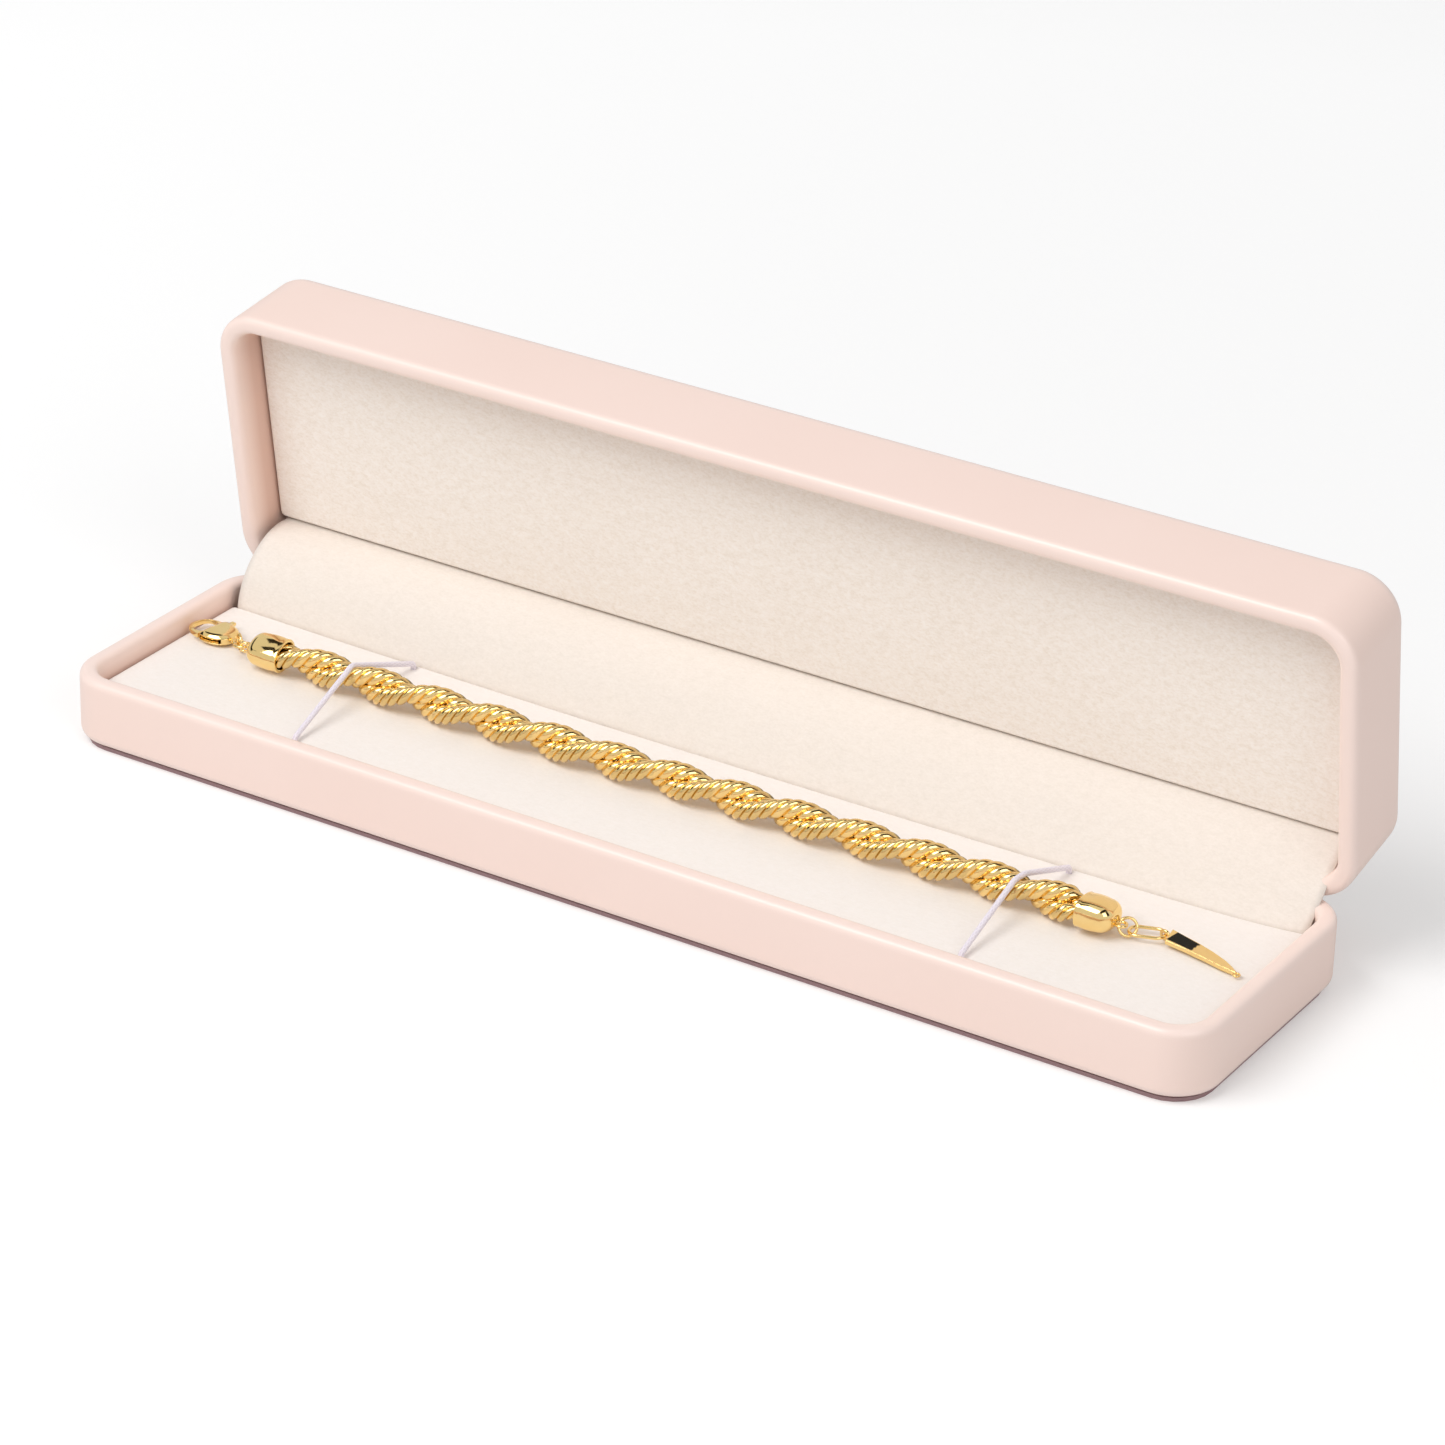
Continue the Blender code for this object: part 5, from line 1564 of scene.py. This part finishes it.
def cast_lever():
    outline = [(u * CLASP_LENGTH, v * CLASP_HALF_WIDTH) for u, v in LEVER_SHARES]
    lever = prism(outline[::-1], -LEVER_HALF, LEVER_HALF)
    lever.name = "cast_lever"
    reach = CLASP_HALF_WIDTH + OVERRUN
    body_outline = oval(CLASP_START + CLASP_LENGTH / 2, CLASP_LENGTH / 2, CLASP_HALF_WIDTH)
    gate = prism(body_outline, -GATE_HALF, GATE_HALF)
    before = block((-OVERRUN, -reach, -reach), (GATE_START, reach, reach))
    after = block((GATE_END, -reach, -reach), (GATE_END + reach, reach, reach))
    above = block((-OVERRUN, PIVOT_V - CLEARANCE, -reach), (GATE_END + reach, reach, reach))
    cut(gate, before, after, above, hook_opening(reach))
    merged_with(lever, gate)
    cut(lever, rod((PIVOT_U, PIVOT_V), BORE_RADIUS, reach))
    melted(lever, CLASP_VOXEL, 4)
    lever.data.transform(CLASP_PLACE)
    joined_on(lever, "clasp_thumb_lever", "gold_plate", "clasp_lever")


def cast_rivet():
    rivet = rod((PIVOT_U, PIVOT_V), RIVET_RADIUS, RIVET_HALF_LENGTH)
    rivet.name = "blind_rivet"
    rivet.data.transform(CLASP_PLACE)
    joined_on(rivet, "clasp", "gold_plate", "clasp_rivet")


cast_clasp()
cast_lever()
cast_rivet()

# %% [markdown]
# The tag is a flat polished horn with a dark reflection painted next to its eye. The painted
# reflection isn't another solid: it is a black field on the blade's face inside a thin gold border.
# Picking faces would leave a stepped edge, so the mesh carries each point's place on the blade,
# and the material turns from gold to the painted black by that place, with noise that frays its edge.

# %% Painted reflection and tag
TAG_EYE = Vector((89.748 * MM, 4.171 * MM, 11.12 * MM))
TAG_HEADING = math.radians(-8.6)
TAG_LENGTH = 14.8 * MM
TAG_WIDTH = 3.8 * MM
TAG_HALF = 0.4 * MM
TAG_EYE_RADIUS = 0.75 * MM
TIP_EYE_RADIUS = 0.5 * MM
TIP_EYE_WIRE = 0.2 * MM
TIP_EYE_SIDES = 12
TAG_REST = BASE_PAD_TOP + CLEARANCE
TAG_VOXEL = 0.07 * MM
DARK_REFLECTION_START = 1.35 * MM
DARK_REFLECTION_END = 6.3 * MM
DARK_REFLECTION_LOW = -1.45 * MM
DARK_REFLECTION_HIGH_AT_START = 1.65 * MM
DARK_REFLECTION_NARROWING = 0.115
DARK_REFLECTION_FRAY = 1.6 * MM
FRAY_SCALE = 1600.0
SPECK_SCALE = 2600.0
# Painted reflection: the near-black colour of the dark reflection on the blade, flecked with gold.
PAINTED_REFLECTION_COLOUR = linear(14, 14, 8)
FLECK_COLOUR = linear(120, 96, 48)
FLECK_START = 0.66
FLECK_STEEPNESS = 5.0
TAG_SHARES = [
    (0.04, -0.49), (0.30, -0.44), (0.60, -0.46), (0.80, -0.50), (0.99, -0.47), (1.00, -0.42),
    (0.90, -0.20), (0.77, 0.02), (0.57, 0.22), (0.35, 0.36), (-0.04, 0.49),
]


def gold_with_painted_reflection():
    """Gold with a black field, a painted dark reflection, where the blade attribute holds (u, v, up)
    in metres.
    """
    material, nodes, shader, place = new_material("gold_with_painted_reflection", Specular_IOR_Level=0.08)
    blade = nodes.add("ShaderNodeAttribute", {"attribute_name": "blade"}, output=1)
    parts = nodes.add("ShaderNodeSeparateXYZ", None, [blade])
    across, upward = parts.output(1), parts.output(2)
    fray = (nodes.noise(place, FRAY_SCALE, 3.0, 0.7) - 0.5) * DARK_REFLECTION_FRAY
    high = (parts - DARK_REFLECTION_START) * -DARK_REFLECTION_NARROWING + DARK_REFLECTION_HIGH_AT_START
    # The mask of the painted reflection on the blade's upper face.
    inside = (parts - DARK_REFLECTION_START).math("GREATER_THAN", 0.0)
    inside = inside * (parts + fray).math("LESS_THAN", DARK_REFLECTION_END)
    inside = inside * across.math("GREATER_THAN", DARK_REFLECTION_LOW)
    inside = inside * across.math("LESS_THAN", high) * upward.math("GREATER_THAN", 0.5)
    speck = nodes.noise(place, SPECK_SCALE, 2.0, 0.7)
    fleck = (speck - FLECK_START).math("MAXIMUM", 0.0) * FLECK_STEEPNESS
    # Painted reflection: the black field and its gold flecks.
    painted_reflection = nodes.mix(fleck, PAINTED_REFLECTION_COLOUR, FLECK_COLOUR)
    wipe = nodes.noise(place, WIPE_SCALE, 3.0)
    colour = nodes.mix(inside, nodes.mix(wipe, GOLD_DEEP, GOLD_COLOUR), painted_reflection)
    feed(nodes, shader, Base_Color=colour, Metallic=1.0 - inside,
         Roughness=0.06 + wipe * 0.06 + inside * 0.12,
         Normal=bump(nodes, speck, 0.04, POLISH_RELIEF))
    return material


def horn_tag():
    outline = [(TAG_EYE_RADIUS + u * TAG_LENGTH, v * TAG_WIDTH) for u, v in TAG_SHARES]
    tag = prism(outline, -TAG_HALF, TAG_HALF)
    tag.name = "horn_tag"
    eye = wire_ring("eye", (0, 0, 0), (0, 1, 0), TAG_EYE_RADIUS, RING_WIRE)
    tip_place = (outline[4][0] + TIP_EYE_RADIUS / 2, outline[4][1], 0)
    tip = wire_ring("tip", tip_place, (0, 0, 1), TIP_EYE_RADIUS, TIP_EYE_WIRE, TIP_EYE_SIDES)
    merged_with(tag, eye, tip)
    melted(tag, TAG_VOXEL, 2)
    dress(tag.data, gold_with_painted_reflection())
    blade = tag.data.attributes.new("blade", "FLOAT_VECTOR", "POINT")
    for vert in tag.data.vertices:
        blade.data[vert.index].vector = (vert.co.x, vert.co.y, vert.normal.z)
    lean = math.asin((TAG_EYE.z - TAG_REST - TAG_HALF) / (TAG_EYE_RADIUS + TAG_LENGTH))
    turn = Matrix.Rotation(TAG_HEADING, 4, "Z") @ Matrix.Rotation(lean, 4, "Y")
    tag.data.transform(Matrix.Translation(TAG_EYE) @ turn)
    joined_on(tag, "tag_blade", "gold_plate", "tag")


horn_tag()

# %% [markdown]
# The other pieces keep the model's own meshes, which are already the right shape. They only
# need their finish, so the material goes into each one's first slot.

# %% Finishes for the model's own pieces
KEPT_FINISHES = {
    "bottom_sheet": PAPER_AND_EDGE_SHADOW, "base_core": CORE, "lid_core": CORE,
    "base_pad_board": BOARD, "lid_pad_board": BOARD, "clasp_spring": STEEL,
}
for side in ("left", "right"):
    for part in ("base_leaf", "lid_leaf", "pin", "spring"):
        KEPT_FINISHES[f"hinge_{side}_{part}"] = STEEL
for node, material in KEPT_FINISHES.items():
    dress(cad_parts[node].data, material)
print("dressed", len(KEPT_FINISHES), "pieces of the model")

# %% [markdown]
# The studio is a white sweep under soft light from above and the left. The floor is white to
# the camera by its own colour and a glow that only the camera sees: full further out, where it
# whitens the less lit floor, and dimmer near the case, which paints a faint shade round it. The
# floor still takes the case's shadow. Polished metal needs something dark to mirror, or it looks
# like yellow plastic. So what the metal mirrors is a slightly dimmed room, with black cards
# placed as a jewellery photographer places them: they draw the dark streaks on the ribs and
# caps. Only reflections see them.

# %% Studio
FLOOR_HALF = 3.0
FLOOR_COLOUR = (0.80, 0.80, 0.80, 1.0)
FLOOR_ROUGHNESS = 0.9
CARD_COLOUR = (0.02, 0.015, 0.01, 1.0)
WHITE = (1.0, 1.0, 1.0, 1.0)
FLOOR_LIFT = 0.31
# Painted shade: the floor's glow near the case is dimmed to this.
GLOW_NEAR = (0.72, 0.72, 0.72, 1.0)
FLOOR_NEAR = 0.14
FLOOR_FAR = 0.42
KEY_PLACE, KEY_SIZE, KEY_POWER = (-0.36, -0.70, 1.03), 0.8, 9.5
FILL_PLACE, FILL_SIZE, FILL_POWER = (0.98, -0.46, 0.73), 0.7, 2.6
WORLD_STRENGTH = 0.50
WORLD_MIRRORED = 0.74
CARDS = (
    ((-0.47, -0.20, 0.87), 0.24, 0.50),
    ((0.42, -0.15, 0.90), 1.30, 0.36),
    ((-0.92, -0.10, 0.42), 1.00, 0.24),
    ((0.75, 0.10, 0.45), 0.30, 0.50),
    ((-0.12, 0.40, 0.88), 1.30, 0.34),
)


def facing_case(place):
    """The matrix that puts a lamp or a card at a place, with its face turned to the case."""
    turn = Vector(place).to_track_quat("Z", "Y").to_matrix().to_4x4()
    return Matrix.Translation(place) @ turn


def add_light(name, place, size, power):
    data = bpy.data.lights.new(name, "AREA")
    data.shape = "SQUARE"
    data.size = size
    data.energy = power
    light = bpy.data.objects.new(name, data)
    bpy.context.scene.collection.objects.link(light)
    light.matrix_world = facing_case(place)


def add_floor():
    shape = bmesh.new()
    bmesh.ops.create_grid(shape, x_segments=1, y_segments=1, size=FLOOR_HALF)
    material, nodes, shader, place = new_material(
        "white_floor", Base_Color=FLOOR_COLOUR, Roughness=FLOOR_ROUGHNESS
    )
    ray = nodes.add("ShaderNodeLightPath")
    lift = ray * FLOOR_LIFT
    away = nodes.add("ShaderNodeVectorMath", {"operation": "LENGTH"}, [place], "Value")
    share = ((away - FLOOR_NEAR) / (FLOOR_FAR - FLOOR_NEAR)).clamped()
    # Painted shade round the case: the glow is dimmer near it than further out.
    glow = nodes.mix(share, GLOW_NEAR, WHITE)
    feed(nodes, shader, Emission_Color=glow, Emission_Strength=lift)
    floor = piece_from("floor", shape, material)


def add_world():
    world = bpy.data.worlds.new("studio")
    bpy.context.scene.world = world
    world.use_nodes = True
    nodes = Nodes(world.node_tree)
    back = world.node_tree.nodes["Background"]
    back.inputs["Color"].default_value = WHITE
    ray = nodes.add("ShaderNodeLightPath")
    seen = ray.math("MAXIMUM", ray.output("Is Transmission Ray"))
    mirrored = ray.output("Is Glossy Ray")
    strength = seen * (1.0 - WORLD_STRENGTH) + mirrored * (WORLD_MIRRORED - WORLD_STRENGTH)
    nodes.tree.links.new((strength + WORLD_STRENGTH).socket, back.inputs["Strength"])


def add_card(number, place, width, height, material):
    shape = bmesh.new()
    bmesh.ops.create_grid(shape, x_segments=1, y_segments=1, size=0.5)
    bmesh.ops.scale(shape, vec=(width, height, 1), verts=shape.verts)
    card = piece_from(f"dark_card_{number}", shape, material)
    card.data.transform(facing_case(place))
    card.visible_camera = False
    card.visible_diffuse = False
    card.visible_shadow = False
    card.visible_transmission = False


add_light("key", KEY_PLACE, KEY_SIZE, KEY_POWER)
add_light("fill", FILL_PLACE, FILL_SIZE, FILL_POWER)
add_floor()
add_world()
black, *_ = new_material("dark_card", Base_Color=CARD_COLOUR, Roughness=1.0)
for number, (place, width, height) in enumerate(CARDS):
    add_card(number, place, width, height, black)
bpy.context.scene.view_settings.view_transform = "Standard"
print("studio ready")
